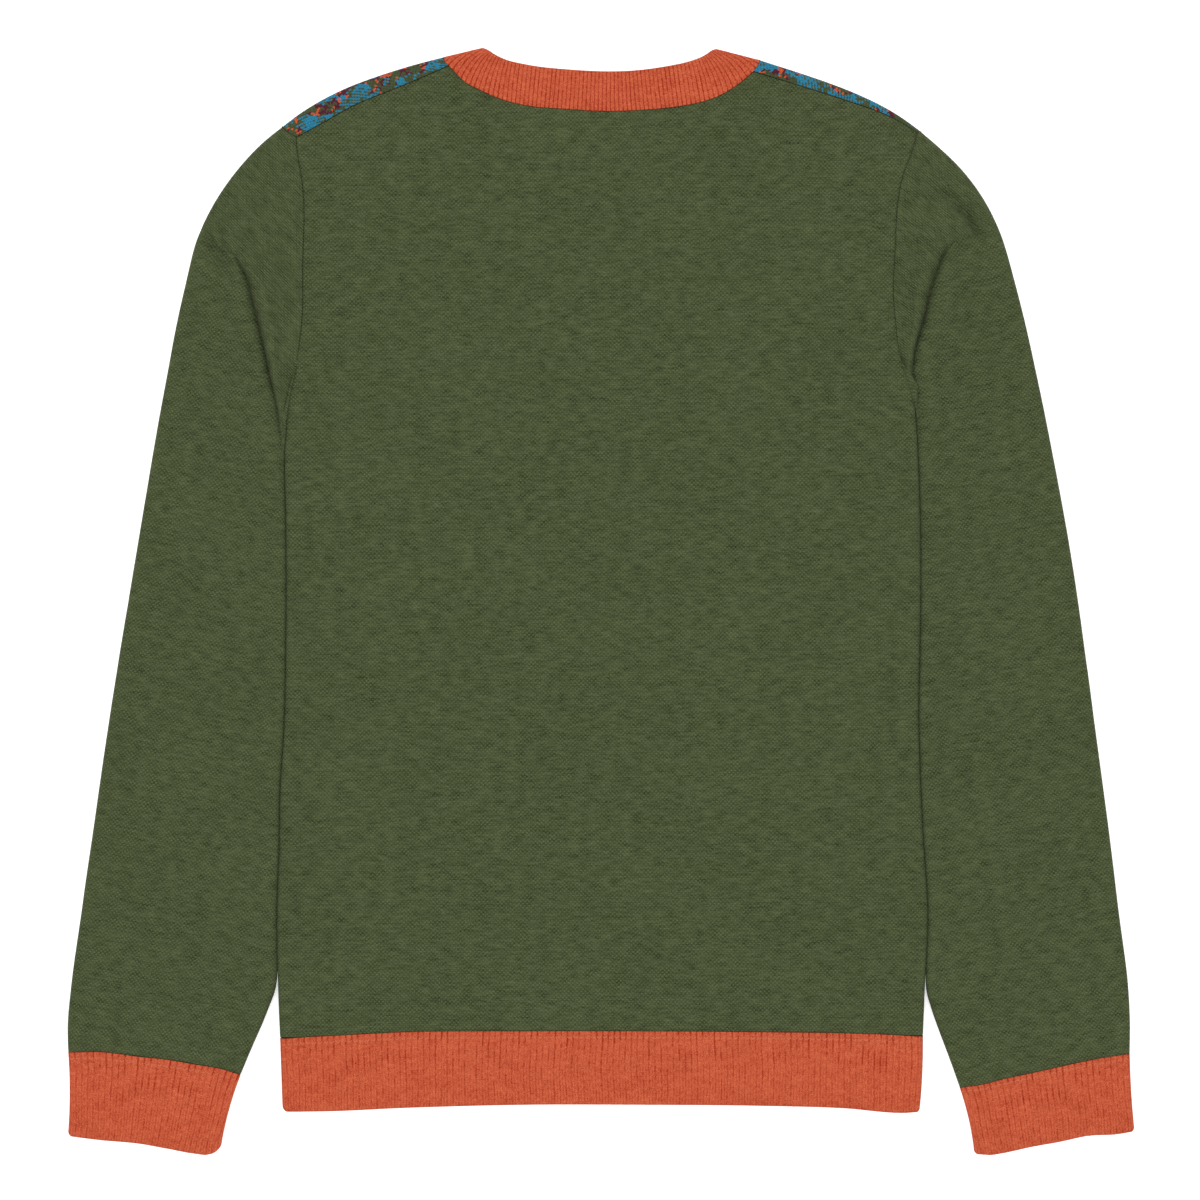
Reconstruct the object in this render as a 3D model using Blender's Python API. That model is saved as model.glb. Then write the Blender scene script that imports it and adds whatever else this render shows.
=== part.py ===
"""Long-sleeved crew-neck sweater lying flat on a floor, its back uppermost.

Tables and sizes are in millimetres: x across the chest, y from the hem up to the neck, z up from the floor.
Every piece is a knitted wall of even thickness: an outer face, an inner face one wall behind it, and rims.
A point of cloth is a pair: its place on the outer face, and the outward direction of the wall there.
"""

import math

import bpy
import numpy as np

MM = 0.001
WALL = 2.0  # thickness of the knit
LAID = 4.7  # top of two layers that lie on each other
ROLL = 3.6  # radius of the soft roll at sides, shoulders and outer sleeve edges
TUCK = 2.4  # radius of a sleeve's inner edge, beside the body
BAND_ROLL = 2.6  # radius of the neckband's fold at its free edge
ROLL_FADE = 13.0  # distance in which a roll sinks to the laid height
SEAM_GAP = 0.3
SIDE_GAP = 0.7  # between a side of the body and the sleeve that lies along it
SIDE_SEAM_TURN = -12.0  # degrees: how far under the roll the side seam runs
CREASE_STEP = 1.7  # plan width, each way, of the step at the edge of the folded-over cloth
UNDERARM_FADE = 55.0  # distance above the underarm in which the thickness gathered there sinks
TURNS = (2.4, 42.0, 76.0)  # degrees at the underarm and just above it, where the seam sinks into the fold
RIB_PITCH = 3.8  # hem and cuffs
NECK_RIB_PITCH = 2.5
RIB_DEPTH = 0.6
BAND_WIDTH = 25.6  # neckband, seam to free edge
EDGE_ROUND = 1.2  # width of the rounding along a band's free edge

UP = np.array((0.0, 0.0, 1.0))
DOWN = -UP
ARC = (90, 45, 0, -45, -90)  # degrees round a full roll
ARMHOLE_STEPS = 12  # at the back, above the underarm
ARMHOLE_UNDER_STEPS = 6
# Shares of a sleeve's width where its cloth is set out: the upper layer from the outer edge in, then the
# lower layer back out.
SLEEVE_TOP = tuple(0.05 + 0.88 * k / (ARMHOLE_STEPS - 1) for k in range(ARMHOLE_STEPS))
SLEEVE_UNDER = tuple(1 - k / ARMHOLE_UNDER_STEPS for k in range(1, ARMHOLE_UNDER_STEPS))
BACK_EDGE = (0.0, 1.75, 4.5, 7.4, 16.0)  # along the cloth from a side or armhole seam
FRONT_EDGE = (0.0, 1.8, 3.6, 8.0, 16.0)
SHOULDER = (0.0, 1.75, 4.5, 7.4, 16.0, 38.0, 62.0, 85.0)  # along a shoulder seam from the armhole
NECK_STEPS = 18
SIDE_STEPS = 9

# Centre line of each seam and fold on the side at negative x, then at positive x. Rows are (x, y).
SIDES = {
    "left": {
        "sign": -1,
        "fold": (  # top of the shoulder, neck to sleeve
            (-100.2, 348.5), (-119.7, 343.4), (-140.2, 337.0), (-158.1, 330.6),
            (-172.2, 324.2), (-188.8, 314.6), (-203.3, 304.0),
        ),
        "shoulder_seam": (
            (-194.3, 296.9), (-176.0, 306.9), (-156.8, 317.8), (-137.6, 325.4),
            (-118.4, 333.1), (-96.6, 342.5),
        ),
        "armhole_back": (
            (-201.6, 113.0), (-201.0, 127.0), (-195.2, 149.4), (-190.7, 180.2), (-190.2, 218.6),
            (-189.4, 249.9), (-190.7, 269.8), (-193.5, 285.1), (-194.3, 296.9),
        ),
        "armhole_front": (
            (-201.6, 113.0), (-199.7, 125.8), (-193.3, 148.2), (-187.5, 180.2), (-185.0, 218.6),
            (-185.0, 250.6), (-188.2, 276.2), (-194.6, 291.1),
        ),
        "side": (
            (-204.8, -279.3), (-206.1, -245.4), (-206.7, -197.4), (-205.4, -159.0), (-204.8, -120.6),
            (-202.2, -82.2), (-201.3, -43.8), (-201.0, 45.8), (-201.6, 81.6), (-201.6, 113.0),
        ),
        "sleeve_outer": (
            (-203.3, 304.0), (-214.4, 295.0), (-232.3, 276.2), (-245.8, 257.0), (-255.4, 237.8),
            (-266.2, 199.4), (-277.8, 141.8), (-288.0, 84.2), (-297.6, 26.6), (-307.2, -31.0),
            (-316.2, -88.6), (-324.5, -146.2), (-332.8, -203.8), (-338.9, -248.6), (-340.9, -271.0),
            (-340.5, -288.3),
        ),
        "sleeve_inner": (  # where it leaves the body, down to the cuff
            (-206.3, -236.0), (-207.4, -247.4), (-211.2, -257.6), (-215.0, -267.8), (-219.5, -278.1),
            (-224.0, -288.3), (-230.1, -303.0),
        ),
        "crease": (  # edge of the cloth folded over at the underarm, from the sleeve's outer edge in
            (-255.4, 237.8), (-247.0, 227.5), (-236.8, 222.4), (-228.5, 210.9), (-222.1, 188.5),
            (-216.3, 166.1), (-211.2, 144.3), (-206.7, 125.8), (-203.5, 103.4), (-201.9, 81.6),
        ),
        "cuff_seam": (
            (-340.5, -288.3), (-321.3, -288.3), (-294.4, -291.5), (-276.5, -293.4), (-258.6, -296.6),
            (-240.6, -299.8), (-230.1, -303.0),
        ),
        "cuff_free": (
            (-340.6, -342.0), (-321.3, -344.6), (-294.4, -347.2), (-276.5, -350.4), (-258.6, -353.6),
            (-249.6, -354.2), (-242.6, -353.4),
        ),
    },
    "right": {
        "sign": 1,
        "fold": (
            (102.4, 346.6), (122.2, 340.2), (141.4, 333.8), (158.7, 327.4), (173.4, 321.0),
            (190.7, 311.4), (205.4, 300.8),
        ),
        "shoulder_seam": (
            (202.9, 299.8), (191.4, 307.0), (179.8, 312.6), (164.5, 318.0), (135.7, 327.4), (98.2, 338.9),
        ),
        "armhole_back": (
            (200.3, 138.6), (195.8, 154.6), (189.8, 177.0), (187.5, 199.4), (189.0, 225.0),
            (190.4, 253.8), (193.9, 273.0), (200.0, 289.0), (202.9, 299.8),
        ),
        "armhole_front": (
            (200.3, 138.6), (193.9, 153.3), (187.5, 173.8), (185.0, 199.4), (184.3, 225.0),
            (185.6, 250.6), (189.4, 273.0), (197.5, 290.0),
        ),
        "side": (
            (206.7, -277.9), (208.0, -245.4), (209.9, -197.4), (207.4, -159.0), (205.4, -120.6),
            (203.9, -72.6), (204.9, -24.6), (204.8, 58.6), (202.9, 104.0), (200.3, 138.6),
        ),
        "sleeve_outer": (
            (205.4, 300.8), (217.6, 290.2), (231.7, 276.2), (245.8, 257.0), (255.4, 237.8),
            (266.9, 199.4), (280.3, 141.8), (291.8, 84.2), (302.1, 26.6), (310.4, -31.0),
            (318.1, -88.6), (325.8, -146.2), (332.8, -203.8), (338.2, -245.4), (339.4, -267.8),
            (339.2, -289.6),
        ),
        "sleeve_inner": (
            (208.5, -236.0), (208.6, -248.6), (211.2, -257.6), (214.4, -267.8), (218.2, -278.1),
            (222.1, -288.3), (225.9, -298.6), (230.4, -311.4),
        ),
        "crease": (
            (249.6, 247.9), (241.9, 235.2), (231.7, 230.1), (220.8, 222.4), (216.3, 210.2),
            (210.6, 195.5), (206.1, 178.9), (203.0, 164.2), (202.0, 145.0), (202.6, 109.8),
        ),
        "cuff_seam": (
            (339.2, -289.6), (330.2, -290.9), (312.3, -294.1), (276.5, -301.8), (258.6, -305.6),
            (240.6, -310.1), (230.4, -311.4),
        ),
        "cuff_free": (
            (340.7, -339.0), (330.2, -340.8), (312.3, -342.1), (294.4, -345.9), (276.5, -349.1),
            (258.6, -353.0), (249.6, -354.4), (240.0, -354.2),
        ),
    },
}
# Sections down a sleeve. steps: rings from the row above. outer_y, inner_y: its two ends.
# edge: radius at the inner end. lift: height of the folded-over cloth above the laid height.
SLEEVE_SECTIONS = {
    "left": (
        # steps, outer_y, inner_y, edge, lift
        (0, 304.0, 113.0, 3.6, 0.0),
        (7, 237.8, 81.6, 3.5, 2.5),
        (1, 231.0, 70.0, 2.6, 0.0),
        (7, 84.2, 27.0, TUCK, 0.0),
        (5, -88.6, -112.0, TUCK, 0.0),
        (5, -240.0, -247.0, TUCK, 0.0),
        (4, -288.3, -303.0, TUCK, 0.0),
    ),
    "right": (
        (0, 300.8, 138.6, 3.6, 0.0),
        (7, 247.9, 109.8, 3.5, 2.5),
        (1, 241.0, 98.0, 2.6, 0.0),
        (7, 84.2, 34.0, TUCK, 0.0),
        (5, -88.6, -108.0, TUCK, 0.0),
        (5, -236.0, -249.0, TUCK, 0.0),
        (4, -289.6, -311.4, TUCK, 0.0),
    ),
}
# Neckband at the back: its seam line and its free edge, left to right.
NECK_BACK = (
    # seam_x, seam_y, free_x, free_y
    (-96.6, 342.5, -74.2, 353.0), (-90.5, 335.9, -71.7, 352.3), (-85.1, 331.3, -68.5, 351.0),
    (-79.4, 328.6, -64.6, 348.8), (-71.7, 324.8, -59.5, 346.9), (-62.1, 321.0, -53.1, 345.1),
    (-45.4, 317.1, -39.7, 342.6), (-23.0, 315.2, -20.5, 340.7), (2.6, 313.8, 2.6, 339.5),
    (28.2, 314.6, 24.3, 340.2), (51.8, 317.1, 44.2, 343.0), (64.0, 319.4, 53.8, 345.3),
    (76.2, 323.6, 62.1, 348.0), (84.5, 328.2, 66.6, 350.1), (92.5, 334.0, 70.4, 352.0),
    (98.2, 338.9, 73.0, 352.8),
)
# Seam line of the neckband at the front, which lies beneath, left to right between the two folds.
NECK_FRONT = (
    (-94.1, 317.8), (-85.8, 300.5), (-71.7, 284.5), (-52.5, 272.3), (-26.9, 265.3), (1.1, 263.4),
    (29.1, 265.3), (54.7, 272.3), (73.9, 284.5), (88.0, 300.5), (96.3, 316.8),
)
NECK_PEAK = {"left": (-75.5, 354.6), "right": (74.6, 353.9)}  # free edge at the two folds
HEM_SEAM = (
    (-204.8, -279.3), (-176.6, -278.1), (-125.4, -275.5), (-48.6, -274.9), (28.2, -274.9),
    (105.0, -275.5), (156.2, -276.2), (206.7, -277.9),
)
HEM_FREE = (
    (-203.2, -326.4), (-176.6, -326.4), (-125.4, -324.2), (-48.6, -322.2), (28.2, -322.2),
    (105.0, -322.9), (156.2, -324.2), (195.2, -326.4), (204.4, -326.0),
)
# Soft creases in the back: ends of the line, its half width, and height (below zero a trough).
CREASES = (
    # x0, y0, x1, y1, width, height
    (-134.0, 261.0, -121.0, 266.0, 4.0, -0.3),
    (118.0, -176.0, 82.0, -262.0, 9.0, 0.6),
    (160.0, -120.0, 188.0, -190.0, 10.0, 0.4),
)

COLOURS = {  # material: (red, green, blue) linear, roughness
    "olive_knit": ((0.071, 0.089, 0.038), 0.95),
    "terracotta_rib": ((0.53, 0.095, 0.042), 0.92),
    "patterned_knit": ((0.055, 0.125, 0.130), 0.95),
}


def unit(v):
    return v / max(np.linalg.norm(v), 1e-9)


def turned(v):
    """The plan vector turned a quarter to the left."""
    return np.array((-v[1], v[0]))


def smooth(rows, spread=None):
    """A smooth curve through rows, as a function of the share of its length.

    spread: how many of the columns measure length.
    """
    p = np.array(rows, float)
    measured = p if spread is None else p[:, :spread]
    at = np.concatenate(([0.0], np.cumsum(np.linalg.norm(np.diff(measured, axis=0), axis=1))))
    at /= at[-1]
    slope = np.gradient(p, at, axis=0)

    def point(t):
        i = min(max(int(np.searchsorted(at, t)) - 1, 0), len(at) - 2)
        span = at[i + 1] - at[i]
        u = (t - at[i]) / span
        a = 2 * u**3 - 3 * u**2 + 1
        b = u**3 - 2 * u**2 + u
        c = -2 * u**3 + 3 * u**2
        d = u**3 - u**2
        return a * p[i] + b * span * slope[i] + c * p[i + 1] + d * span * slope[i + 1]

    return point


def dense(rows, steps=240):
    curve = smooth(rows)
    return np.array([curve(k / steps) for k in range(steps + 1)])


def length(points):
    return float(np.linalg.norm(np.diff(points, axis=0), axis=1).sum())


def at_length(points, distance):
    """The point of a dense line at a distance from its start, and the direction of the line there."""
    at = np.concatenate(([0.0], np.cumsum(np.linalg.norm(np.diff(points, axis=0), axis=1))))
    place = np.array([np.interp(distance, at, points[:, k]) for k in (0, 1)])
    i = min(int(np.searchsorted(at, distance)), len(points) - 1)
    return place, unit(points[max(i, 1)] - points[max(i, 1) - 1])


def at_y(points, y):
    """The same, where a line that runs down the sweater passes y."""
    place = np.array((np.interp(-y, -points[:, 1], points[:, 0]), y))
    i = min(max(int(np.searchsorted(-points[:, 1], -y)), 2), len(points) - 2)
    return place, unit(points[i + 1] - points[i - 1])


def nearest(points, place):
    """(distance, index) of the point of a dense line nearest to a place."""
    gaps = np.hypot(points[:, 0] - place[0], points[:, 1] - place[1])
    i = int(np.argmin(gaps))
    return float(gaps[i]), i


FOLD = {side: dense(rows["fold"]) for side, rows in SIDES.items()}
BAND_FOLD = {side: np.linspace(FOLD[side][0], NECK_PEAK[side], 60) for side in SIDES}
SIDE_LINE = {side: dense(rows["side"][::-1]) for side, rows in SIDES.items()}
ARMHOLE = {side: dense(rows["armhole_back"]) for side, rows in SIDES.items()}
ARMHOLE_UNDER = {side: dense(rows["armhole_front"]) for side, rows in SIDES.items()}


def fade(distance, width=ROLL_FADE):
    return math.exp(-((max(distance, 0.0) / width) ** 2))


def crease_height(place):
    total = 0.0
    for x0, y0, x1, y1, width, height in CREASES:
        start = np.array((x0, y0))
        along = np.array((x1, y1)) - start
        t = float(np.clip(np.dot(place - start, along) / np.dot(along, along), 0, 1))
        gap = np.linalg.norm(place - start - t * along)
        total += height * fade(gap, width) * math.sin(math.pi * (0.1 + 0.8 * t))
    return total


def top_height(place):
    """Height of the body's upper face."""
    lift = 0.0
    for side in SIDES:
        shoulder = min(nearest(FOLD[side], place)[0], nearest(BAND_FOLD[side], place)[0])
        lift = max(lift, fade(shoulder - ROLL))
        underarm = SIDE_LINE[side][0]
        line = SIDE_LINE[side] if place[1] < underarm[1] else ARMHOLE[side]
        above = fade(place[1] - underarm[1], UNDERARM_FADE)
        lift = max(lift, above * fade(nearest(line, place)[0] - ROLL))
    return LAID + (2 * ROLL - LAID) * lift + crease_height(place)


def laid(place):
    """Cloth of the upper layer, which turns down over the shoulder folds."""
    z = top_height(place)
    for side in SIDES:
        gap, i = nearest(FOLD[side], place)
        if gap < ROLL:
            out = shoulder_out(side, i)
            level = 1 - gap / ROLL
            rise = math.sqrt(1 - level**2)
            return np.array((*place, z - ROLL * (1 - rise))), np.array((*(out * level), rise))
    return np.array((*place, z)), UP


def under(place):
    return np.array((*place, 0.0)), DOWN


def shoulder_out(side, i):
    """Outward direction of a shoulder fold at one of its points."""
    line = FOLD[side]
    out = turned(unit(line[min(i + 1, len(line) - 1)] - line[max(i - 1, 0)]))
    return out if out[1] > 0 else -out


def on_roll(edge, inward, angle, radius, top=None, reach=None):
    """Cloth at an angle of a roll.

    edge: plan point of its outermost line. reach: from there to the roll's centre, shortened for a part roll.
    """
    a = math.radians(angle)
    reach = radius if reach is None else reach
    top = 2 * radius if top is None else top
    place = edge + inward * (reach - radius * math.cos(a))
    z = top - radius * (1 - math.sin(a)) if angle >= 0 else radius * (1 + math.sin(a))
    return np.array((*place, z)), np.array((*(-inward * math.cos(a)), math.sin(a)))


def along_edge(row, distance, upper):
    """Cloth of a body panel at a distance from its side or armhole edge, measured along the cloth."""
    edge, inward, turn, rolled = row
    bend = math.radians(90 - abs(turn)) if (turn >= 0) == upper else math.radians(90 + abs(turn))
    reach = ROLL if rolled else ROLL * math.cos(math.radians(turn))
    if distance < bend * ROLL - 1e-6:
        swing = math.degrees(distance / ROLL)
        angle = turn + swing if upper else turn - swing
        top = top_height(edge + inward * ROLL) if upper else None
        return on_roll(edge, inward, angle, ROLL, top, reach)
    place = edge + inward * (reach + distance - bend * ROLL)
    return laid(place) if upper else under(place)


def seam_points(points, near, steps, last):
    """Places along a seam from its start: at the near distances, then in even steps as far as last."""
    total = length(points)
    far = [near[-1] + (total - near[-1]) * k / steps for k in range(1, steps + 1)]
    placed = [at_length(points, d)[0] for d in (*near, *far)]
    placed[-1] = np.array(last)
    return placed


def bisected(points):
    """Unit normals of an open line of places, to the left of its direction."""
    found = []
    for i, _ in enumerate(points):
        before = points[max(i - 1, 0)]
        after = points[min(i + 1, len(points) - 1)]
        found.append(turned(unit(after - before)))
    return found


def shoulder_stack(side, place, fold_index):
    """Cloth from a place near the shoulder fold, over the fold, to the underside."""
    edge = FOLD[side][fold_index]
    inward = -shoulder_out(side, fold_index)
    depth = float(np.dot(place - edge, inward))
    start = 90.0 if depth > ROLL + 0.6 else math.degrees(math.acos(1 - min(depth, ROLL) / ROLL))
    angles = (90, 45, 0, -45, -90) if start == 90.0 else (start * 0.67, start * 0.33, 0, -45, -90)
    return [laid(place)] + [on_roll(edge, inward, a, ROLL) for a in angles]


def shifted(cloth, move):
    place, out = cloth
    return place + np.array((*move, 0.0)), out


def layout(side):
    """The seam places that neighbouring pieces share on one side of the sweater."""
    rows = SIDES[side]
    sign = rows["sign"]
    near = (0.0, 4.0, 10.0)  # one place for each of TURNS
    corner = np.array(rows["armhole_back"][-1])
    fold_end = len(FOLD[side]) - 1
    stack = shoulder_stack(side, corner, fold_end)
    back = seam_points(ARMHOLE[side], near, ARMHOLE_STEPS, corner)
    front = seam_points(ARMHOLE_UNDER[side], near, ARMHOLE_UNDER_STEPS, stack[-1][0][:2])
    seam = dense(rows["shoulder_seam"])
    shoulder = [at_length(seam, d)[0] for d in (*SHOULDER, length(seam))]
    inward_back = [n * sign for n in bisected(back)]
    inward_front = [n * sign for n in bisected(front)]
    tangent = unit(FOLD[side][-8] - FOLD[side][-1])
    inward_front[-1] = tangent
    folds = [fold_end] + [nearest(FOLD[side], p)[1] for p in shoulder[1:-1]] + [0]
    return {
        "back": back,
        "front": front,
        "inward_back": inward_back,
        "inward_front": inward_front,
        "stack": stack,
        "tangent": tangent,
        "shoulder": shoulder,
        "shoulder_back": [n if n[1] < 0 else -n for n in bisected(shoulder)],
        "folds": folds,
    }


LAYOUT = {side: layout(side) for side in SIDES}


def panel_rows(side, upper):
    """Edge rows of a body panel, hem to shoulder: (edge place, inward direction, turn, rolled)."""
    shared = LAYOUT[side]
    sign = SIDES[side]["sign"]
    line = SIDE_LINE[side]
    rows = []
    for k in range(SIDE_STEPS):
        share = 0.985 * k / (SIDE_STEPS - 1)
        place, _ = at_length(line, length(line) * (1 - share))
        inward = np.array((-float(sign), 0.0))
        gap = math.degrees(SEAM_GAP / 2 / ROLL)
        turn = SIDE_SEAM_TURN * (1 - fade(length(line) * (1 - share), 25))
        rows.append((place, inward, turn + (gap if upper else -gap), True))
    seam = shared["back" if upper else "front"]
    ways = shared["inward_back" if upper else "inward_front"]
    for i, (place, inward) in enumerate(zip(seam, ways)):
        turn = TURNS[i] if i < len(TURNS) else 90.0
        inward = np.array((-float(sign), 0.0)) if i == 0 else inward
        rows.append((place + inward * SEAM_GAP / 2, inward, turn if upper else -turn, False))
    return rows


def shares_along(points):
    """Share of a line's length at each of its points."""
    at = np.concatenate(([0.0], np.cumsum(np.linalg.norm(np.diff(points, axis=0), axis=1))))
    return at / at[-1]


def coons(left, right, bottom, top):
    """Plan places filling four boundary lines that share their corners."""
    share_bottom = shares_along(bottom)
    share_top = shares_along(top)
    grid = []
    for i, (a, b) in enumerate(zip(left, right)):
        v = i / (len(left) - 1)
        line = []
        for j in range(len(bottom)):
            s = (1 - v) * share_bottom[j] + v * share_top[j]
            edge = (1 - s) * a + s * b + (1 - v) * bottom[j] + v * top[j]
            corner = (1 - s) * (1 - v) * bottom[0] + s * (1 - v) * bottom[-1]
            corner = corner + (1 - s) * v * top[0] + s * v * top[-1]
            line.append(edge - corner)
        grid.append(line)
    return grid


def hem_seam_at(x):
    points = dense(HEM_SEAM)
    return np.array((x, np.interp(x, points[:, 0], points[:, 1])))


def neck_back():
    """Sections of the neckband at the back: (seam place, free place), left to right."""
    curve = smooth(NECK_BACK, 2)
    return [(curve(k / NECK_STEPS)[:2], curve(k / NECK_STEPS)[2:]) for k in range(NECK_STEPS + 1)]


def neck_front():
    """The same at the front, left to right, from the underside of one fold to that of the other."""
    ends = {side: fold_foot(side, 0) for side in SIDES}
    frees = {side: band_end(side, -90)[0][:2] for side in SIDES}
    points = dense((ends["left"], *NECK_FRONT, ends["right"]))
    total = length(points)
    found = []
    for k in range(NECK_STEPS + 1):
        place, along = at_length(points, total * k / NECK_STEPS)
        free = place + turned(along) * BAND_WIDTH
        edge = min(k, NECK_STEPS - k)
        side = "left" if k < NECK_STEPS / 2 else "right"
        pull = fade(edge, 1.5)
        found.append((place, (1 - pull) * free + pull * (frees[side] + (place - ends[side]))))
    found[0] = (ends["left"], frees["left"])
    found[-1] = (ends["right"], frees["right"])
    return found


def band_end(side, angle):
    """The neckband's free edge on its fold."""
    along = unit(np.array(NECK_PEAK[side]) - FOLD[side][0])
    inward = turned(along) * SIDES[side]["sign"]
    return on_roll(np.array(NECK_PEAK[side]), inward, angle, BAND_ROLL)


def toward(seam, free):
    return unit(np.array(free)[:2] - np.array(seam)[:2])


def shell(name, cloth, quads, material):
    """A closed solid: the cloth's outer face, the inner face one wall behind, and rims along open edges."""
    outer = np.array([place for place, _ in cloth])
    out = np.array([unit(way) for _, way in cloth])
    inner = outer - WALL * out
    facing = 0.0
    for a, b, c, d in quads:
        facing += float(np.dot(np.cross(outer[c] - outer[a], outer[d] - outer[b]), out[a] + out[c]))
    if facing < 0:
        quads = [q[::-1] for q in quads]
    n = len(cloth)
    faces = [tuple(q) for q in quads] + [tuple(i + n for i in q[::-1]) for q in quads]
    edges = {}
    for q in quads:
        for a, b in zip(q, (*q[1:], q[0])):
            edges[(a, b)] = 1
    for a, b in edges:
        if (b, a) not in edges:
            faces.append((b, a, a + n, b + n))
    add_solid(name, np.vstack((outer, inner)), faces, material)


def add_solid(name, points, faces, material):
    mesh = bpy.data.meshes.new(name)
    mesh.from_pydata((points * MM).tolist(), [], faces)
    mesh.update()
    mesh.shade_smooth()
    mesh.set_sharp_from_angle(angle=math.radians(35))
    made = bpy.data.objects.new(name, mesh)
    mesh.materials.append(bpy.data.materials[material])
    bpy.context.scene.collection.objects.link(made)


def grid_quads(rows, columns, closed=False, start=0):
    quads = []
    for i in range(rows - 1):
        for j in range(columns if closed else columns - 1):
            k = (j + 1) % columns
            quads.append((start + i * columns + j, start + i * columns + k,
                          start + (i + 1) * columns + k, start + (i + 1) * columns + j))
    return quads


def panel(upper):
    """Grid of cloth of the back (upper) or of the front as far as the shoulder folds and neckline."""
    edges = BACK_EDGE if upper else FRONT_EDGE
    rows = {side: panel_rows(side, upper) for side in SIDES}
    inner = {side: [along_edge(r, edges[-1], upper)[0][:2] for r in rows[side]] for side in SIDES}
    top = top_line(upper)
    skip = len(edges) - 1
    across = top[skip:len(top) - skip]
    inner["left"][-1] = across[0]
    inner["right"][-1] = across[-1]
    first, last = inner["left"][0], inner["right"][0]
    shares = np.linspace(0, 1, len(across))
    above = np.array((0.0, SEAM_GAP / 2))
    bottom = [hem_seam_at(first[0] + (last[0] - first[0]) * s) + above for s in shares]
    for side, end in (("left", 0), ("right", -1)):
        inner[side][0] = bottom[end]
        place, inward, turn, rolled = rows[side][0]
        rows[side][0] = (np.array((place[0], bottom[end][1])), inward, turn, rolled)
    grid = coons(inner["left"], inner["right"], bottom, across)
    cloth = []
    for i, line in enumerate(grid):
        if i == len(grid) - 1:
            cloth.append([laid(p) if upper else under(p) for p in top])
            continue
        start = [along_edge(rows["left"][i], d, upper) for d in edges[:-1]]
        end = [along_edge(rows["right"][i], d, upper) for d in edges[:-1]]
        middle = [laid(p) if upper else under(p) for p in line]
        cloth.append(start + middle + end[::-1])
    return cloth


def fold_foot(side, i):
    """Where the cloth turned over a shoulder fold reaches the underside."""
    return on_roll(FOLD[side][i], -shoulder_out(side, i), -90, ROLL)[0][:2]


def top_line(upper):
    """Places along a body panel's top edge, left to right: shoulder, neckline, shoulder."""
    sections = neck_back() if upper else neck_front()
    neck = [seam - toward(seam, free) * SEAM_GAP / 2 for seam, free in sections]
    found = {}
    for side in SIDES:
        shared = LAYOUT[side]
        if upper:
            line = [p + n * SEAM_GAP / 2 for p, n in zip(shared["shoulder"], shared["shoulder_back"])]
        else:
            line = [fold_foot(side, k) for k in shared["folds"]]
        line[0] = line[0] + shared["tangent"] * SEAM_GAP / 2
        found[side] = line[:-1]
    first = neck[0] + (LAYOUT["left"]["shoulder_back"][-1] * SEAM_GAP / 2 if upper else 0)
    last = neck[-1] + (LAYOUT["right"]["shoulder_back"][-1] * SEAM_GAP / 2 if upper else 0)
    return found["left"] + [first] + neck[1:-1] + [last] + found["right"][::-1]


def shoulder_wrap(side):
    """Stacks of cloth that carry the front over the shoulder fold to the shoulder seam, armhole to neck."""
    shared = LAYOUT[side]
    stacks = []
    for i, (place, k) in enumerate(zip(shared["shoulder"], shared["folds"])):
        stack = shoulder_stack(side, place - shared["shoulder_back"][i] * SEAM_GAP / 2, k)
        if i == 0:
            stack = [shifted(c, shared["tangent"] * SEAM_GAP / 2) for c in stack]
        if i == len(shared["folds"]) - 1:
            move = -toward(FOLD[side][0], NECK_PEAK[side]) * SEAM_GAP / 2
            stack = [shifted(c, move) for c in stack]
        stacks.append(stack)
    return stacks


def build_body():
    back = panel(True)
    columns = len(back[0])
    shell("back_panel", sum(back, []), grid_quads(len(back), columns), "olive_knit")
    front = panel(False)
    columns = len(front[0])
    cloth = sum(front, [])
    quads = grid_quads(len(front), columns)
    top = (len(front) - 1) * columns
    for side in SIDES:
        stacks = shoulder_wrap(side)
        levels = len(stacks[0]) - 1
        base = len(cloth)
        for stack in stacks:
            cloth += stack[:levels]
        for i in range(len(stacks) - 1):
            left = side == "left"
            a, b = (i, i + 1) if left else (i + 1, i)
            ends = (top + a, top + b) if left else (top + columns - 1 - a, top + columns - 1 - b)
            for m in range(levels):
                lower_a = base + a * levels + m + 1 if m + 1 < levels else ends[0]
                lower_b = base + b * levels + m + 1 if m + 1 < levels else ends[1]
                quads.append((lower_a, lower_b, base + b * levels + m, base + a * levels + m))
        for i, stack in enumerate(stacks):
            place = top + i if side == "left" else top + columns - 1 - i
            cloth[place] = stack[-1]
    shell("front_panel", cloth, quads, "patterned_knit")


def sleeve_ends(side, outer_y, inner_y, edge):
    """The two edge places of a sleeve section with their inward directions, and the two roll radii."""
    rows = SIDES[side]
    sign = rows["sign"]
    outer, along = at_y(dense(rows["sleeve_outer"]), outer_y)
    outer_in = turned(along) * sign
    if outer_in[0] * sign > 0:
        outer_in = -outer_in
    split = rows["sleeve_inner"][0][1]
    if inner_y > split:
        start = rows["armhole_back"][0][1]
        gap = SEAM_GAP / 2 + (SIDE_GAP - SEAM_GAP / 2) * (1 - fade(start - inner_y, 20))
        place, _ = at_y(SIDE_LINE[side], inner_y)
        inner = place + np.array((sign * gap, 0.0))
        inner_in = np.array((float(sign), 0.0))
    else:
        inner, along = at_y(dense(rows["sleeve_inner"]), inner_y)
        inner = inner + np.array((sign * SIDE_GAP * fade(split - inner_y, 25), 0.0))
        inner_in = turned(along)
        if inner_in[0] * sign < 0:
            inner_in = -inner_in
    low = fade(outer_y - rows["cuff_seam"][0][1], 120)
    return outer, outer_in, inner, inner_in, ROLL - 0.4 * low, edge


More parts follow.
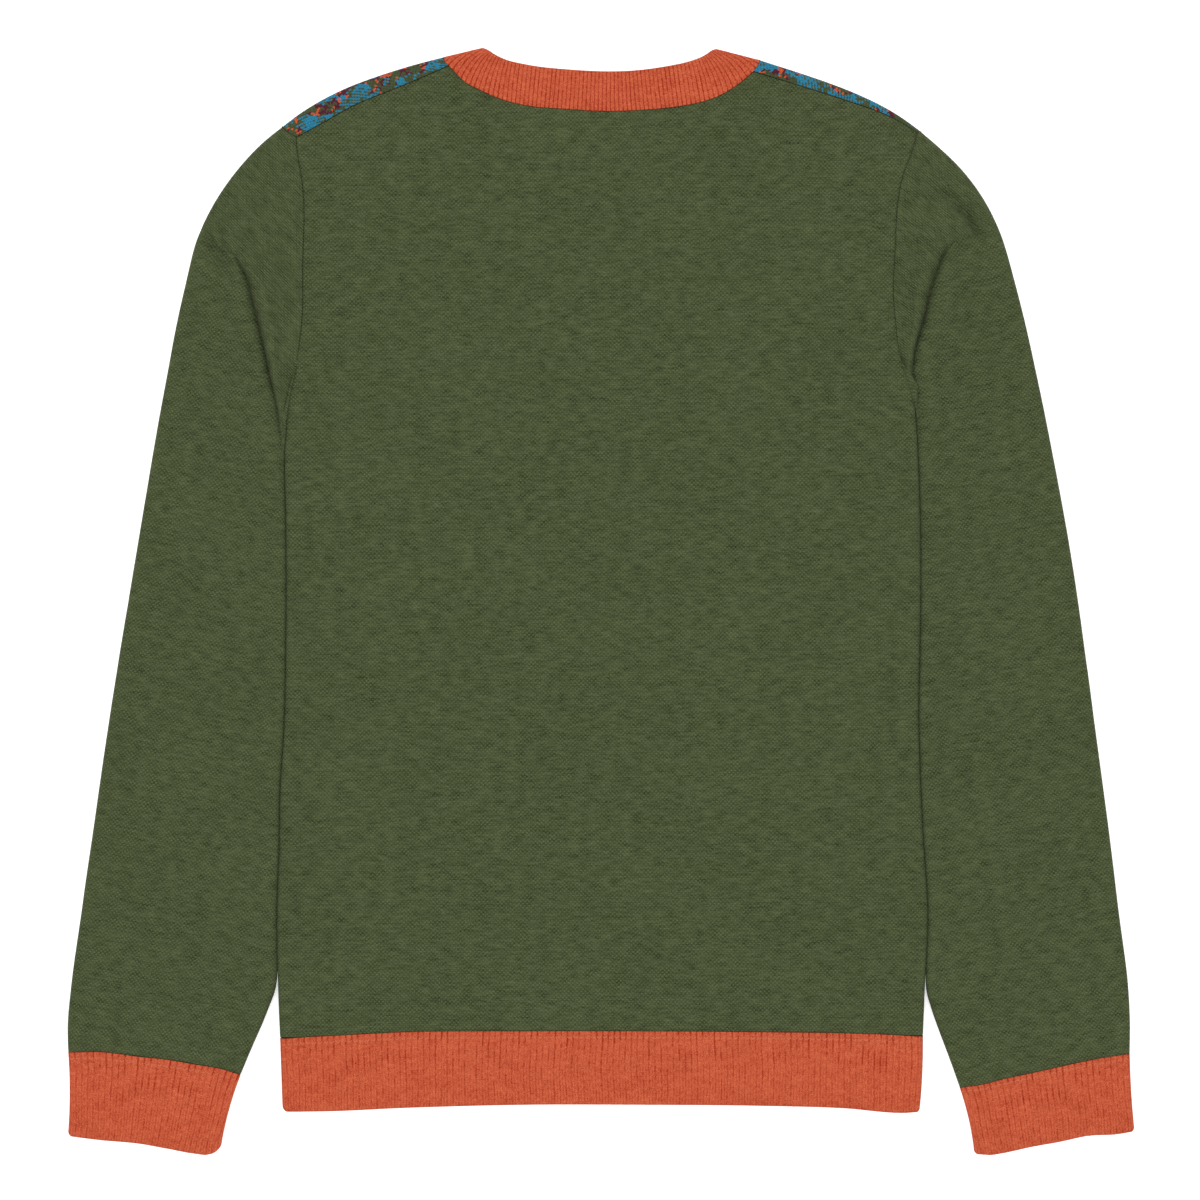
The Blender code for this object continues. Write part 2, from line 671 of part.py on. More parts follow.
def sleeve_guide(side, section, lines):
    """Plan places of a sleeve section, upper then under, between its two rolls.

    lines: the section's shape across, or None where it is straight.
    """
    outer, outer_in, inner, inner_in, radius, edge = sleeve_ends(side, *section)
    a = outer + outer_in * radius
    b = inner + inner_in * edge
    if lines is None:
        return [a + (b - a) * t for t in SLEEVE_TOP], [a + (b - a) * t for t in SLEEVE_UNDER]
    curve = smooth(lines)
    start, end = curve(0.0), curve(1.0)

    def fitted(t):
        return curve(t) + (a - start) * (1 - t) ** 3 + (b - end) * t**3

    return [fitted(t) for t in SLEEVE_TOP], [a + (b - a) * t for t in SLEEVE_UNDER]


def sleeve_rings(side):
    """Rings of cloth from the armhole to the cuff seam."""
    rows = SIDES[side]
    shared = LAYOUT[side]
    sections = SLEEVE_SECTIONS[side]
    gap = SEAM_GAP / 2
    back = [p - n * gap for p, n in zip(shared["back"], shared["inward_back"])]
    front = [p - n * gap for p, n in zip(shared["front"], shared["inward_front"])]
    guides = [(back[:2:-1], front[3:-1])]
    crease = np.array(rows["crease"])
    foot = crease + np.array((rows["sign"] * CREASE_STEP, -CREASE_STEP))
    shapes = (crease, foot, None, None, None, rows["cuff_seam"])
    for section, lines in zip(sections[1:], shapes):
        guides.append(sleeve_guide(side, section[1:4], lines))
    rings = [armhole_ring(side, back, front)]
    first = len(ARC)
    heights = [c[0][2] for c in rings[0][first:first + ARMHOLE_STEPS]]
    for n in range(1, len(sections)):
        steps, *goal = sections[n]
        goal_heights = section_heights(side, guides[n][0], goal)
        for k in range(1, steps + 1):
            f = k / steps
            now = [(1 - f) * a + f * b for a, b in zip(sections[n - 1][1:], goal)]
            rings.append(blended_ring(side, now, sections[n - 1], sections[n], guides[n - 1], guides[n], f,
                                      [(1 - f) * a + f * b for a, b in zip(heights, goal_heights)]))
        heights = goal_heights
    last = rings[-1]
    way = np.array((0.0, gap))
    rings[-1] = [shifted(c, way) for c in last]
    return rings


def armhole_ring(side, back, front):
    """The sleeve's first ring, along the armhole seam and over the shoulder fold."""
    shared = LAYOUT[side]
    sign = SIDES[side]["sign"]
    arc = [shifted(c, -shared["tangent"] * SEAM_GAP / 2) for c in shared["stack"][:0:-1]]
    corner = shifted(shared["stack"][0], -(shared["tangent"] + shared["inward_back"][-1]) * SEAM_GAP / 4)
    top = [corner] + [laid(p) for p in back[-2:2:-1]]
    toward_body = np.array((-float(sign), 0.0))
    ends = []
    for i in (2, 1, 0, 1, 2):
        upper = len(ends) < 3
        turn = (0.0, *TURNS[1:])[i]
        place = back[i] if upper else front[i]
        out = toward_body if i == 0 else shared["inward_back" if upper else "inward_front"][i]
        height = top_height(place) if upper else None
        reach = ROLL * math.cos(math.radians(turn))
        ends.append(on_roll(place, -out, turn if upper else -turn, ROLL, height, reach))
    return arc + top + ends + [under(p) for p in front[3:-1]]


def section_heights(side, places, section):
    """Heights of a sleeve section's upper face."""
    outer_y, inner_y, edge, lift = section
    outer, _, inner, _, radius, _ = sleeve_ends(side, outer_y, inner_y, edge)
    found = []
    for t, place in zip(SLEEVE_TOP, places):
        high = (2 * radius - LAID) * fade(np.linalg.norm(place - outer) - radius)
        rise = (2 * edge - LAID) * fade(np.linalg.norm(place - inner) - edge)
        fold = lift * min(max((t - 0.05) / 0.5, 0), 1) ** 0.5
        found.append(LAID + max(high, fold) + max(rise - fold, 0))
    return found


def blended_ring(side, now, before, after, guide, goal, f, heights):
    outer_y, inner_y, edge, _ = now
    outer, outer_in, inner, inner_in, radius, edge = sleeve_ends(side, outer_y, inner_y, edge)
    a = outer + outer_in * radius
    b = inner + inner_in * edge
    ends = []
    for section in (before, after):
        end = sleeve_ends(side, *section[1:4])
        ends.append((end[0] + end[1] * end[4], end[2] + end[3] * end[5]))
    move_a = a - (1 - f) * ends[0][0] - f * ends[1][0]
    move_b = b - (1 - f) * ends[0][1] - f * ends[1][1]
    top = []
    for t, p, q, z in zip(SLEEVE_TOP, guide[0], goal[0], heights):
        place = (1 - f) * p + f * q + move_a * (1 - t) ** 2 + move_b * t**2
        top.append((np.array((*place, z)), UP))
    below = []
    for t, p, q in zip(SLEEVE_UNDER, guide[1], goal[1]):
        place = (1 - f) * p + f * q + move_a * (1 - t) ** 2 + move_b * t**2
        below.append(under(place))
    arc = [on_roll(outer, outer_in, angle, radius) for angle in ARC[::-1]]
    end = [on_roll(inner, inner_in, angle, edge) for angle in ARC]
    return arc + top + end + below


def build_sleeve(side):
    rings = sleeve_rings(side)
    columns = len(rings[0])
    shell(f"sleeve_{side}", sum(rings, []), grid_quads(len(rings), columns, True), "olive_knit")
    return rings[-1]


def rib_counts(sections, pitch):
    """Whole ribs from each section of a band to the next, spaced by the pitch at the band's mid height."""
    counts = []
    run = 0.0
    for i, (seam, free, raised) in enumerate(sections):
        seam_next, free_next, _ = sections[(i + 1) % len(sections)]
        width = np.linalg.norm(seam[0] + free[0] - seam_next[0] - free_next[0]) / 2
        run += width / pitch if raised else 0
        counts.append(int(round(run)) - sum(counts))
    return counts


def rib_band(name, sections, pitch):
    """A closed band of rib.

    sections: (cloth at the seam, cloth at the free edge, whether ribs are raised up to the next section).
    """
    counts = rib_counts(sections, pitch)
    outer = [[], [], []]
    owner = []
    for i, (seam, free, _) in enumerate(sections):
        seam_next, free_next, _ = sections[(i + 1) % len(sections)]
        ribs = counts[i]
        for k in range(2 * ribs if ribs else 1):
            t = k / (2 * ribs) if ribs else 0
            depth = RIB_DEPTH * (k % 2)
            seam_place = (1 - t) * seam[0] + t * seam_next[0]
            free_place = (1 - t) * free[0] + t * free_next[0]
            out_seam = unit((1 - t) * seam[1] + t * seam_next[1])
            out_free = unit((1 - t) * free[1] + t * free_next[1])
            near = EDGE_ROUND / np.linalg.norm(free_place - seam_place)
            outer[0].append(seam_place - out_seam * depth)
            outer[1].append(free_place + (seam_place - free_place) * near - out_free * depth)
            soft = 0.5 if out_free[2] > -0.5 else 0.0
            outer[2].append(free_place - out_free * min(depth + soft, 1.0))
            owner.append(i)
    inner = [[seam[0] - WALL * unit(seam[1]) for seam, _, _ in sections]]
    inner.append([free[0] - WALL * unit(free[1]) for _, free, _ in sections])
    fine, coarse = len(owner), len(sections)
    points = np.array(outer[0] + outer[1] + outer[2] + inner[0] + inner[1])
    free_edge, seam_in, free_in = 2 * fine, 3 * fine, 3 * fine + coarse
    faces = []
    for j in range(fine):
        k = (j + 1) % fine
        for level in (0, fine):
            faces.append((level + j, level + k, level + fine + k, level + fine + j))
        a, b = owner[j], owner[k]
        faces.append((seam_in + a, k, j))
        faces.append((free_in + a, free_edge + j, free_edge + k))
        if a != b:
            faces.append((seam_in + a, seam_in + b, k))
            faces.append((free_in + a, free_edge + k, free_in + b))
    for a in range(coarse):
        b = (a + 1) % coarse
        faces.append((seam_in + a, free_in + a, free_in + b, seam_in + b))
    if np.dot(np.cross(points[1] - points[0], points[fine] - points[0]), sections[0][0][1]) < 0:
        faces = [f[::-1] for f in faces]
    add_solid(name, points, faces, "terracotta_rib")


def build_cuff(side, ring):
    """ring: the sleeve's last ring, along the cuff seam."""
    rows = SIDES[side]
    sign = rows["sign"]
    free = dense(rows["cuff_free"])
    outer, inner = free[0], free[-1]
    across = unit(inner - outer)
    radius, edge = ROLL - 0.6, TUCK
    a = outer + across * radius
    b = inner - across * edge
    curve = smooth((a, *rows["cuff_free"][1:-1], b))
    ends = [on_roll(outer, across, angle, radius) for angle in ARC[::-1]]
    for t in SLEEVE_TOP:
        place = curve(t)
        high = (2 * radius - LAID) * fade(np.linalg.norm(place - a))
        ends.append((np.array((*place, LAID + high)), UP))
    ends += [on_roll(inner, -across, angle, edge) for angle in ARC]
    ends += [under(curve(t)) for t in SLEEVE_UNDER]
    sections = []
    for j, (seam, end) in enumerate(zip(ring, ends)):
        sections.append((shifted(seam, (0.0, -SEAM_GAP)), end, 2 <= j < len(ARC) + ARMHOLE_STEPS + 2))
    rib_band(f"cuff_{side}", sections, RIB_PITCH)


def build_hem():
    seam, free = dense(HEM_SEAM), dense(HEM_FREE)
    down = np.array((0.0, -SEAM_GAP / 2))
    low = ROLL - 0.4
    right = np.array((1.0, 0.0))
    sections = []
    left_seam, right_seam = seam[0] + down, seam[-1] + down
    for angle in ARC[::-1]:
        sections.append([on_roll(left_seam, right, angle, ROLL), on_roll(free[0], right, angle, low)])
    steps = 16
    xs = np.linspace(left_seam[0] + ROLL, right_seam[0] - ROLL, steps + 1)[1:-1]
    xs = [xs[0] - 16, *xs, xs[-1] + 16]
    for x in xs:
        share = (x - xs[0]) / (xs[-1] - xs[0])
        low_x = free[0][0] + 11 + share * (free[-1][0] - free[0][0] - 22)
        place = np.array((low_x, np.interp(low_x, free[:, 0], free[:, 1])))
        at_free = laid(np.array((low_x, place[1] + 40)))[0][2]
        at_free = LAID + (at_free - LAID) * (low / ROLL) ** 2
        sections.append([laid(hem_seam_at(x) + down), (np.array((*place, at_free)), UP)])
    for angle in ARC:
        sections.append([on_roll(right_seam, -right, angle, ROLL), on_roll(free[-1], -right, angle, low)])
    for x in (110.0, 35.0, -40.0, -120.0):
        place = np.array((x, np.interp(x, free[:, 0], free[:, 1])))
        sections.append([under(hem_seam_at(x) + down), under(place)])
    raised = range(2, len(ARC) + len(xs) + 2)
    rib_band("hem_band", [(a, b, j in raised) for j, (a, b) in enumerate(sections)], RIB_PITCH)


def build_neckband():
    gap = SEAM_GAP / 2
    sections = []
    for seam, free in neck_back():
        at_free = np.array((*free, top_height(free) - 0.3))
        sections.append([laid(seam + toward(seam, free) * gap), (at_free, UP)])
    tops = len(sections)

    def folded(side):
        move = toward(FOLD[side][0], NECK_PEAK[side]) * gap
        inward = -shoulder_out(side, 0)
        return [[shifted(on_roll(FOLD[side][0], inward, a, ROLL), move), band_end(side, a)] for a in ARC]

    right, left = folded("right"), folded("left")
    below = [[under(s + toward(s, f) * gap), under(f)] for s, f in neck_front()[1:-1]]
    sections += right + below[::-1] + left[::-1]
    flat = range(tops + 2, len(sections) - 3)
    rib_band("neck_band", [(a, b, j not in flat) for j, (a, b) in enumerate(sections)], NECK_RIB_PITCH)


def make_materials():
    for name, (colour, roughness) in COLOURS.items():
        material = bpy.data.materials.new(name)
        material.use_nodes = True
        surface = material.node_tree.nodes["Principled BSDF"]
        surface.inputs["Base Color"].default_value = (*colour, 1.0)
        surface.inputs["Roughness"].default_value = roughness
        surface.inputs["Metallic"].default_value = 0.0


def main():
    for found in list(bpy.data.objects):
        bpy.data.objects.remove(found, do_unlink=True)
    make_materials()
    build_body()
    for side in SIDES:
        build_cuff(side, build_sleeve(side))
    build_hem()
    build_neckband()


main()
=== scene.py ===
import math

import bpy
import numpy as np
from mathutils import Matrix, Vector


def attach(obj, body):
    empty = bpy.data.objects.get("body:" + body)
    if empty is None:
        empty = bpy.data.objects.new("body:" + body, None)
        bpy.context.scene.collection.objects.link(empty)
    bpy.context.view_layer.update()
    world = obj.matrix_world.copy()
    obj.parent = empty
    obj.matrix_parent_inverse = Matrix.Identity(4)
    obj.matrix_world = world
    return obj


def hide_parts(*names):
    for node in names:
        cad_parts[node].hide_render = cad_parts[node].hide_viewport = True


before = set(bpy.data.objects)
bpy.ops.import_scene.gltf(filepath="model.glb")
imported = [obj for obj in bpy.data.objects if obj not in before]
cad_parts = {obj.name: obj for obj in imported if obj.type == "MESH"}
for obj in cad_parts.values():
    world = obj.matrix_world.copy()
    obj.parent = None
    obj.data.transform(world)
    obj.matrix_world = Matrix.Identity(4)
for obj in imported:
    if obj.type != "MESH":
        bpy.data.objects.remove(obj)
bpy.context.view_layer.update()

MM = 0.001
WALL = 2.0  # thickness of the knit
LAID = 4.7  # top of two layers that lie on each other
ROLL = 3.6  # radius of the soft roll at sides, shoulders and outer sleeve edges
TUCK = 4.2  # radius of a sleeve's inner edge, beside the body
CUFF_TUCK = 2.6  # the same at the cuff
SIDE_PUFF = 1.2  # how far the cloth stands up beside the sides of the body
BAND_ROLL = 2.6  # radius of the neckband's fold at its free edge
ROLL_FADE = 13.0  # distance in which a roll sinks to the laid height
SEAM_GAP = 0.3
SEAM_DIP = 0.7  # how far the cloth sinks at a seam
SHOULDER_GAP = 0.7
CORD = 0.45  # radius of the linked yarn inside each seam
CORD_DEPTH = (0.1, 1.45)  # how deep it lies in a wall on edge, and how much deeper where the wall is level
SIDE_GAP = -0.4  # between a side of the body and the sleeve that lies along it: it presses on it a little
SIDE_SEAM_TURN = -12.0  # degrees: how far under the roll the side seam runs
# The valley that the sleeve folds into at the underarm. Rows are (distance past its floor, share of height):
# the cap of the sleeve comes before the floor, and the rest of the sleeve past it.
CREASE_ROWS = (
    (-9.0, 1.0), (-6.6, 0.97), (-5.0, 0.9), (-3.8, 0.8), (-2.8, 0.68), (-1.9, 0.53), (-1.1, 0.35), (-0.5, 0.16),
    (0.0, 0.0), (0.5, 0.15), (1.1, 0.33), (1.9, 0.49), (2.8, 0.62), (3.9, 0.73), (5.4, 0.83), (7.4, 0.89),
    (11.0, 0.82), (17.0, 0.56), (26.0, 0.25), (38.0, 0.05),
)
CREASE_FLOOR = 8  # the row at the valley's floor
UNDERARM_FADE = 55.0  # distance above the underarm in which the thickness gathered there sinks
RIB_PITCH = 3.8  # hem and cuffs
NECK_RIB_PITCH = 2.5
RIB_DEPTH = 0.2
RIB_LEAST = 0.1  # share of its depth that a rib keeps at the band's free edge
RIB_ENDS = (0.5, 5.0)  # from the free edge: where the ribs begin, and how far until they are full
BAND_DIP = 0.28  # how far a band sinks at its seam
BAND_TURN = (30, 60, 90, 120, 150)  # degrees round a band's free edge
BOW_REACH = 14.0  # how far in from a band's corner its side bows
BAND_WIDTH = 25.6  # neckband, seam to free edge
PEAK_ROUND = 2.1  # at the neckband's folds its free edge runs on by this times the root of its depth
STITCH = 1.3335  # width and height of one stitch of the fine knit
LOOPS_BELOW = 3.4  # from a rib's seam down to its row of linking loops
# Width, height, yarn radius and bend in degrees of each small yarn shape
LOOP = (2.3, 1.7, 0.3, 200.0)
SEAM_STITCH = (1.2, 0.4, 0.22, 180.0)
KNOT = (0.75, 0.5, 0.24, 250.0)
ARMHOLE_STITCHES, SHOULDER_STITCHES = (1.9, 0.5), (2.1, 0.95)  # how far apart, and how deep in the seam
SEED = 11
LEVEL_REACH = 70.0  # distance up an armhole in which its edge turns from level to its own direction
FLOOR_TOP = -0.0004  # metres: just under the cloth
PHOTO_WIDTH = 0.768  # metres of floor across the photograph
LOW_ROLL = ROLL - 0.4  # radius of the rolls at the hem's free edge, and of a sleeve's outer edge at its cuff
CUFF_ROLL = ROLL - 0.6  # and at the cuff's free edge
ROLL_LOWERS = 120.0  # distance above the cuff in which a sleeve's outer roll becomes lower
LEAVES_SIDE = 25.0  # distance in which a sleeve's inner edge leaves the body's side
HEM_CORNER = 9.0  # the hem's flat part starts this far in from its corners
HEM_UNDER = 185.0  # half the width of its level underside
PUFF_AT, PUFF_WIDTH, PUFF_STARTS = 5.5, 6.0, 30.0  # in from the side, its width, and below the underarm
SIDE_SHARE = 0.985  # of a side's length that its own rows take up, below those of the armhole
SIDE_TURNS = 25.0  # distance below the underarm in which the side seam turns under
FOLD_LIFT = 7.6  # height of the folded-over cloth above the laid height
FOLD_WIDENS = 20.0  # distance past the fold in which a sleeve's inner edge gets its full radius
OUTER_CLOSER = 0.97  # how much closer the fold's rows lie to each other at the outer edge
# Changes along the crease, in shares of its length: where each starts, and how far it runs.
FOLD_DEEPENS, FOLD_SPREADS = 0.13, 0.016  # the second is added for each millimetre past the valley's floor
FOLD_SINKS = (0.5, 0.35)  # to half its height
FOLD_ENDS = (0.77, 0.12)
FOLD_NARROWS = (0.42, 0.25)  # the cap's side
FOLD_TURNS_DOWN = (0.78, 0.2)
ROWS_STRAIGHTEN = (6.0, 44.0)  # millimetres past the crease
UPPER_FROM, UPPER_BLEND = 2.2, 0.6  # height at which the upper layer starts, and how gently
UNEVEN_WAVES, UNEVEN_SPANS, UNEVEN = 16, (16.0, 60.0), 0.0016  # how many, their lengths, height to length
CREASE_FADE = 0.12  # a soft crease is this weak at its two ends
CAP_EASE = 1.6  # how late the cap of the sleeve rises toward its fold
FIRST_RING = 0.017  # share of the cap at which the ring that keeps the armhole's edge lies
LAST_SECTION = 50.0  # length of the last section above the cuff

UP = np.array((0.0, 0.0, 1.0))
DOWN = -UP
ARC = tuple(90.0 - 22.5 * k for k in range(9))  # degrees round a full roll
NEAR = (0.0, 2.0, 4.0, 7.0, 10.0)  # distances up an armhole from the underarm
ARMHOLE_STEPS = 26
UNDER_STEPS = 11
SUPPORT = 1.2  # distance from a seam of the row that keeps its edge
# Shares of a sleeve's width where its cloth is set out: the upper layer from the outer edge in, then the
# lower layer back out.
CAP_STEPS = ARMHOLE_STEPS - 2
SLEEVE_TOP = (0.05, 0.063) + tuple(0.063 + 0.867 * k / CAP_STEPS for k in range(1, CAP_STEPS + 1))
SLEEVE_UNDER = tuple(1 - k / UNDER_STEPS for k in range(1, UNDER_STEPS))
EDGE = (0.0, 1.0, 2.4, 4.0, 5.7, 8.2, 12.0, 18.0)  # along the cloth from a side or armhole seam
SHOULDER = EDGE + (26.0, 36.0, 47.0, 58.0, 69.0, 80.0, 91.0)  # along a shoulder seam from the armhole
NECK_STEPS = 44
SIDE_STEPS = 40
BAND_COLUMNS = 10  # columns of points in each rib

# Centre line of each seam and fold on the side at negative x, then at positive x. Rows are (x, y).
SIDES = {
    "left": {
        "sign": -1,
        "fold": (  # top of the shoulder, neck to sleeve
            (-100.2, 348.5), (-119.7, 343.4), (-140.2, 337.0), (-158.1, 330.6),
            (-172.2, 324.2), (-188.8, 314.6), (-203.3, 304.0),
        ),
        "shoulder_seam": (
            (-194.3, 296.9), (-176.0, 306.9), (-156.8, 317.8), (-137.6, 325.4),
            (-118.4, 333.1), (-96.6, 342.5),
        ),
        "armhole_back": (
            (-201.6, 113.0), (-201.0, 127.0), (-195.2, 149.4), (-190.7, 180.2), (-190.2, 218.6),
            (-189.4, 249.9), (-190.7, 269.8), (-193.5, 285.1), (-194.3, 296.9),
        ),
        "armhole_front": (
            (-201.6, 113.0), (-199.7, 125.8), (-193.3, 148.2), (-187.5, 180.2), (-185.0, 218.6),
            (-185.0, 250.6), (-188.2, 276.2), (-194.6, 291.1),
        ),
        "side": (
            (-204.8, -279.3), (-206.1, -245.4), (-206.7, -197.4), (-205.4, -159.0), (-204.8, -120.6),
            (-202.2, -82.2), (-201.3, -43.8), (-201.0, 45.8), (-201.6, 81.6), (-201.6, 113.0),
        ),
        "sleeve_outer": (
            (-203.3, 304.0), (-214.4, 295.0), (-232.3, 276.2), (-245.8, 257.0), (-255.4, 237.8),
            (-266.2, 199.4), (-277.8, 141.8), (-288.0, 84.2), (-297.6, 26.6), (-307.2, -31.0),
            (-316.2, -88.6), (-324.5, -146.2), (-332.8, -203.8), (-338.9, -248.6), (-340.9, -271.0),
            (-340.5, -288.3),
        ),
        "sleeve_inner": (  # where it leaves the body, down to the cuff
            (-206.3, -236.0), (-207.4, -247.4), (-211.2, -257.6), (-215.0, -267.8), (-219.5, -278.1),
            (-224.0, -288.3), (-230.1, -303.0),
        ),
        "crease": (  # edge of the cloth folded over at the underarm, from the sleeve's outer edge in
            (-255.4, 237.8), (-247.0, 229.5), (-237.4, 223.6), (-229.1, 211.6), (-222.1, 188.5),
            (-216.3, 166.1), (-211.2, 144.3), (-206.7, 125.8), (-203.5, 103.4), (-201.9, 81.6),
        ),
        "crease_start": 0.07,  # share of its length at which the valley begins to deepen
        "cuff_seam": (
            (-340.5, -288.3), (-321.3, -288.3), (-294.4, -291.5), (-276.5, -293.4), (-258.6, -296.6),
            (-240.6, -299.8), (-230.1, -303.0),
        ),
        "cuff_free": (
            (-340.6, -342.0), (-321.3, -344.6), (-294.4, -347.2), (-276.5, -350.4), (-258.6, -353.6),
            (-249.6, -354.2), (-243.9, -353.4),
        ),
        "cuff_corners": ((2.6, 1.0), (5.4, 1.3)),  # radius, and bow of the side: outer, inner
        # The grain: degrees from the body's, above the crease and below it, turned about a point of the fold
        "grain": (-45.0, -10.0, (-255.4, 237.8)),
    },
    "right": {
        "sign": 1,
        "fold": (
            (102.4, 346.6), (122.2, 340.2), (141.4, 333.8), (158.7, 327.4), (173.4, 321.0),
            (190.7, 311.4), (205.4, 300.8),
        ),
        "shoulder_seam": (
            (202.9, 299.8), (191.4, 307.0), (179.8, 312.6), (164.5, 318.0), (135.7, 327.4), (98.2, 338.9),
        ),
        "armhole_back": (
            (200.3, 138.6), (194.6, 149.5), (190.8, 162.5), (189.4, 177.0), (187.5, 199.4), (189.0, 225.0),
            (190.4, 253.8), (193.9, 273.0), (200.0, 289.0), (202.9, 299.8),
        ),
        "armhole_front": (
            (200.3, 138.6), (193.9, 153.3), (187.5, 173.8), (185.0, 199.4), (184.3, 225.0),
            (185.6, 250.6), (189.4, 273.0), (197.5, 290.0),
        ),
        "side": (
            (206.7, -277.9), (208.0, -245.4), (209.9, -197.4), (207.4, -159.0), (205.4, -120.6),
            (203.9, -72.6), (204.9, -24.6), (204.8, 58.6), (202.9, 104.0), (200.3, 138.6),
        ),
        "sleeve_outer": (
            (205.4, 300.8), (217.6, 290.2), (231.7, 276.2), (245.8, 257.0), (255.4, 237.8),
            (266.9, 199.4), (280.3, 141.8), (291.8, 84.2), (302.1, 26.6), (310.4, -31.0),
            (318.1, -88.6), (325.8, -146.2), (332.8, -203.8), (338.2, -245.4), (339.4, -267.8),
            (339.2, -289.6),
        ),
        "sleeve_inner": (
            (208.5, -236.0), (208.6, -248.6), (211.2, -257.6), (214.4, -267.8), (218.2, -278.1),
            (222.1, -288.3), (225.9, -298.6), (230.4, -311.4),
        ),
        "crease": (
            (249.6, 247.9), (241.9, 238.2), (232.0, 232.5), (222.4, 226.6), (216.3, 211.8),
            (211.2, 197.0), (207.0, 180.2), (202.2, 165.0), (199.9, 150.0), (201.6, 128.0), (203.0, 109.8),
        ),
        "crease_start": 0.13,
        "cuff_seam": (
            (339.2, -289.6), (330.2, -290.9), (312.3, -294.1), (276.5, -301.8), (258.6, -305.6),
            (240.6, -310.1), (230.4, -311.4),
        ),
        "cuff_free": (
            (342.2, -339.0), (330.2, -341.0), (312.3, -342.1), (294.4, -345.9), (276.5, -349.1),
            (258.6, -353.0), (249.6, -354.4), (240.0, -354.2),
        ),
        "cuff_corners": ((2.0, 0.5), (1.9, 1.2)),
        "grain": (-41.0, 9.5, (249.6, 247.9)),
    },
}
# Sections down a sleeve: armhole, fold, then to the cuff seam. steps: rings from the row above.
# outer_y, inner_y: its two ends. edge: radius at the inner end.
SLEEVE_SECTIONS = {
    "left": (
        # steps, outer_y, inner_y, edge
        (0, 304.0, 113.0, 3.6),
        (18, 237.8, 81.6, 2.5),
        (14, 84.2, 27.0, TUCK),
        (12, -88.6, -112.0, TUCK),
        (12, -240.0, -247.0, TUCK),
        (9, -288.3, -303.0, CUFF_TUCK),
    ),
    "right": (
        (0, 300.8, 138.6, 3.6),
        (18, 247.9, 109.8, 2.5),
        (14, 84.2, 34.0, TUCK),
        (12, -88.6, -108.0, TUCK),
        (12, -236.0, -249.0, TUCK),
        (9, -289.6, -311.4, CUFF_TUCK),
    ),
}
# Neckband at the back: its seam line and its free edge, left to right.
NECK_BACK = (
    # seam_x, seam_y, free_x, free_y
    (-96.6, 342.5, -70.2, 352.0), (-90.5, 335.9, -68.3, 350.6), (-85.1, 331.3, -66.0, 349.3),
    (-79.4, 328.6, -63.0, 347.9), (-71.7, 324.8, -58.9, 346.4), (-62.1, 321.0, -53.1, 345.0),
    (-45.4, 317.1, -39.7, 342.6), (-23.0, 315.2, -20.5, 340.7), (2.6, 313.8, 2.6, 339.5),
    (28.2, 314.6, 24.3, 340.2), (51.8, 317.1, 44.2, 343.0), (64.0, 319.4, 53.2, 344.8),
    (76.2, 323.6, 60.6, 346.8), (84.5, 328.2, 64.9, 348.4), (92.5, 334.0, 67.7, 349.9),
    (98.2, 338.9, 69.6, 351.2),
)
# Seam line of the neckband at the front, which lies beneath, left to right between the two folds.
NECK_FRONT = (
    (-94.1, 317.8), (-85.8, 300.5), (-71.7, 284.5), (-52.5, 272.3), (-26.9, 265.3), (1.1, 263.4),
    (29.1, 265.3), (54.7, 272.3), (73.9, 284.5), (88.0, 300.5), (96.3, 316.8),
)
NECK_PEAK = {"left": (-75.5, 354.6), "right": (74.6, 353.9)}  # free edge at the two folds
HEM_SEAM = (
    (-204.8, -279.3), (-176.6, -278.1), (-125.4, -275.5), (-48.6, -274.9), (28.2, -274.9),
    (105.0, -275.5), (156.2, -276.2), (206.7, -277.9),
)
HEM_FREE = (
    (-203.2, -326.4), (-176.6, -326.4), (-125.4, -324.2), (-48.6, -322.2), (28.2, -322.2),
    (105.0, -322.9), (156.2, -324.4), (194.6, -327.3), (204.6, -326.7),
)
# Soft creases in the upper cloth: ends of the line, its half width, and height (below zero a trough).
BACK_CREASES = (
    # x0, y0, x1, y1, width, height
    (-134.0, 261.0, -121.0, 266.0, 4.0, -0.6),
    (118.0, -176.0, 82.0, -262.0, 9.0, 0.6),
    (160.0, -120.0, 188.0, -190.0, 10.0, 0.4),
)
SLEEVE_CREASES = {
    "left": (
        (-262.0, 232.0, -226.0, 212.0, 17.0, 3.8),
        (-254.0, 236.5, -245.5, 224.0, 3.4, -3.8),
        (-247.5, 226.5, -234.0, 212.6, 3.9, -5.6),
        (-238.0, 229.0, -230.0, 236.0, 7.0, 0.8),
        (-222.0, 222.0, -205.0, 196.0, 9.0, -0.9),
        (-206.0, 168.0, -204.0, 150.0, 3.0, -0.8),
    ),
    "right": (
        (214.0, 258.0, 238.0, 228.0, 19.0, 3.8),
        (213.0, 264.5, 231.0, 253.4, 3.8, -4.2),
        (229.0, 255.0, 238.0, 243.0, 3.6, -5.2),
        (236.4, 246.0, 243.6, 230.0, 3.4, -5.0),
        (222.0, 250.0, 233.0, 238.0, 5.5, 1.6),
        (226.5, 229.0, 233.0, 224.5, 3.8, -3.6),
        (198.0, 215.0, 191.0, 190.0, 4.0, -0.8),
    ),
}


# Small knots of dark fibre in the yarn, at (x, y), on the piece named
SLUBS = {
    "back_panel": ((-137.6, 55.4), (-90.9, 175.7), (85.1, 132.8), (199.0, 119.4)),
    "hem_band": ((186.9, -291.8), (-156.2, -295.4)),
}


def unit(v):
    return v / max(np.linalg.norm(v), 1e-9)


def turned(v):
    """The plan vector turned a quarter to the left."""
    return np.array((-v[1], v[0]))


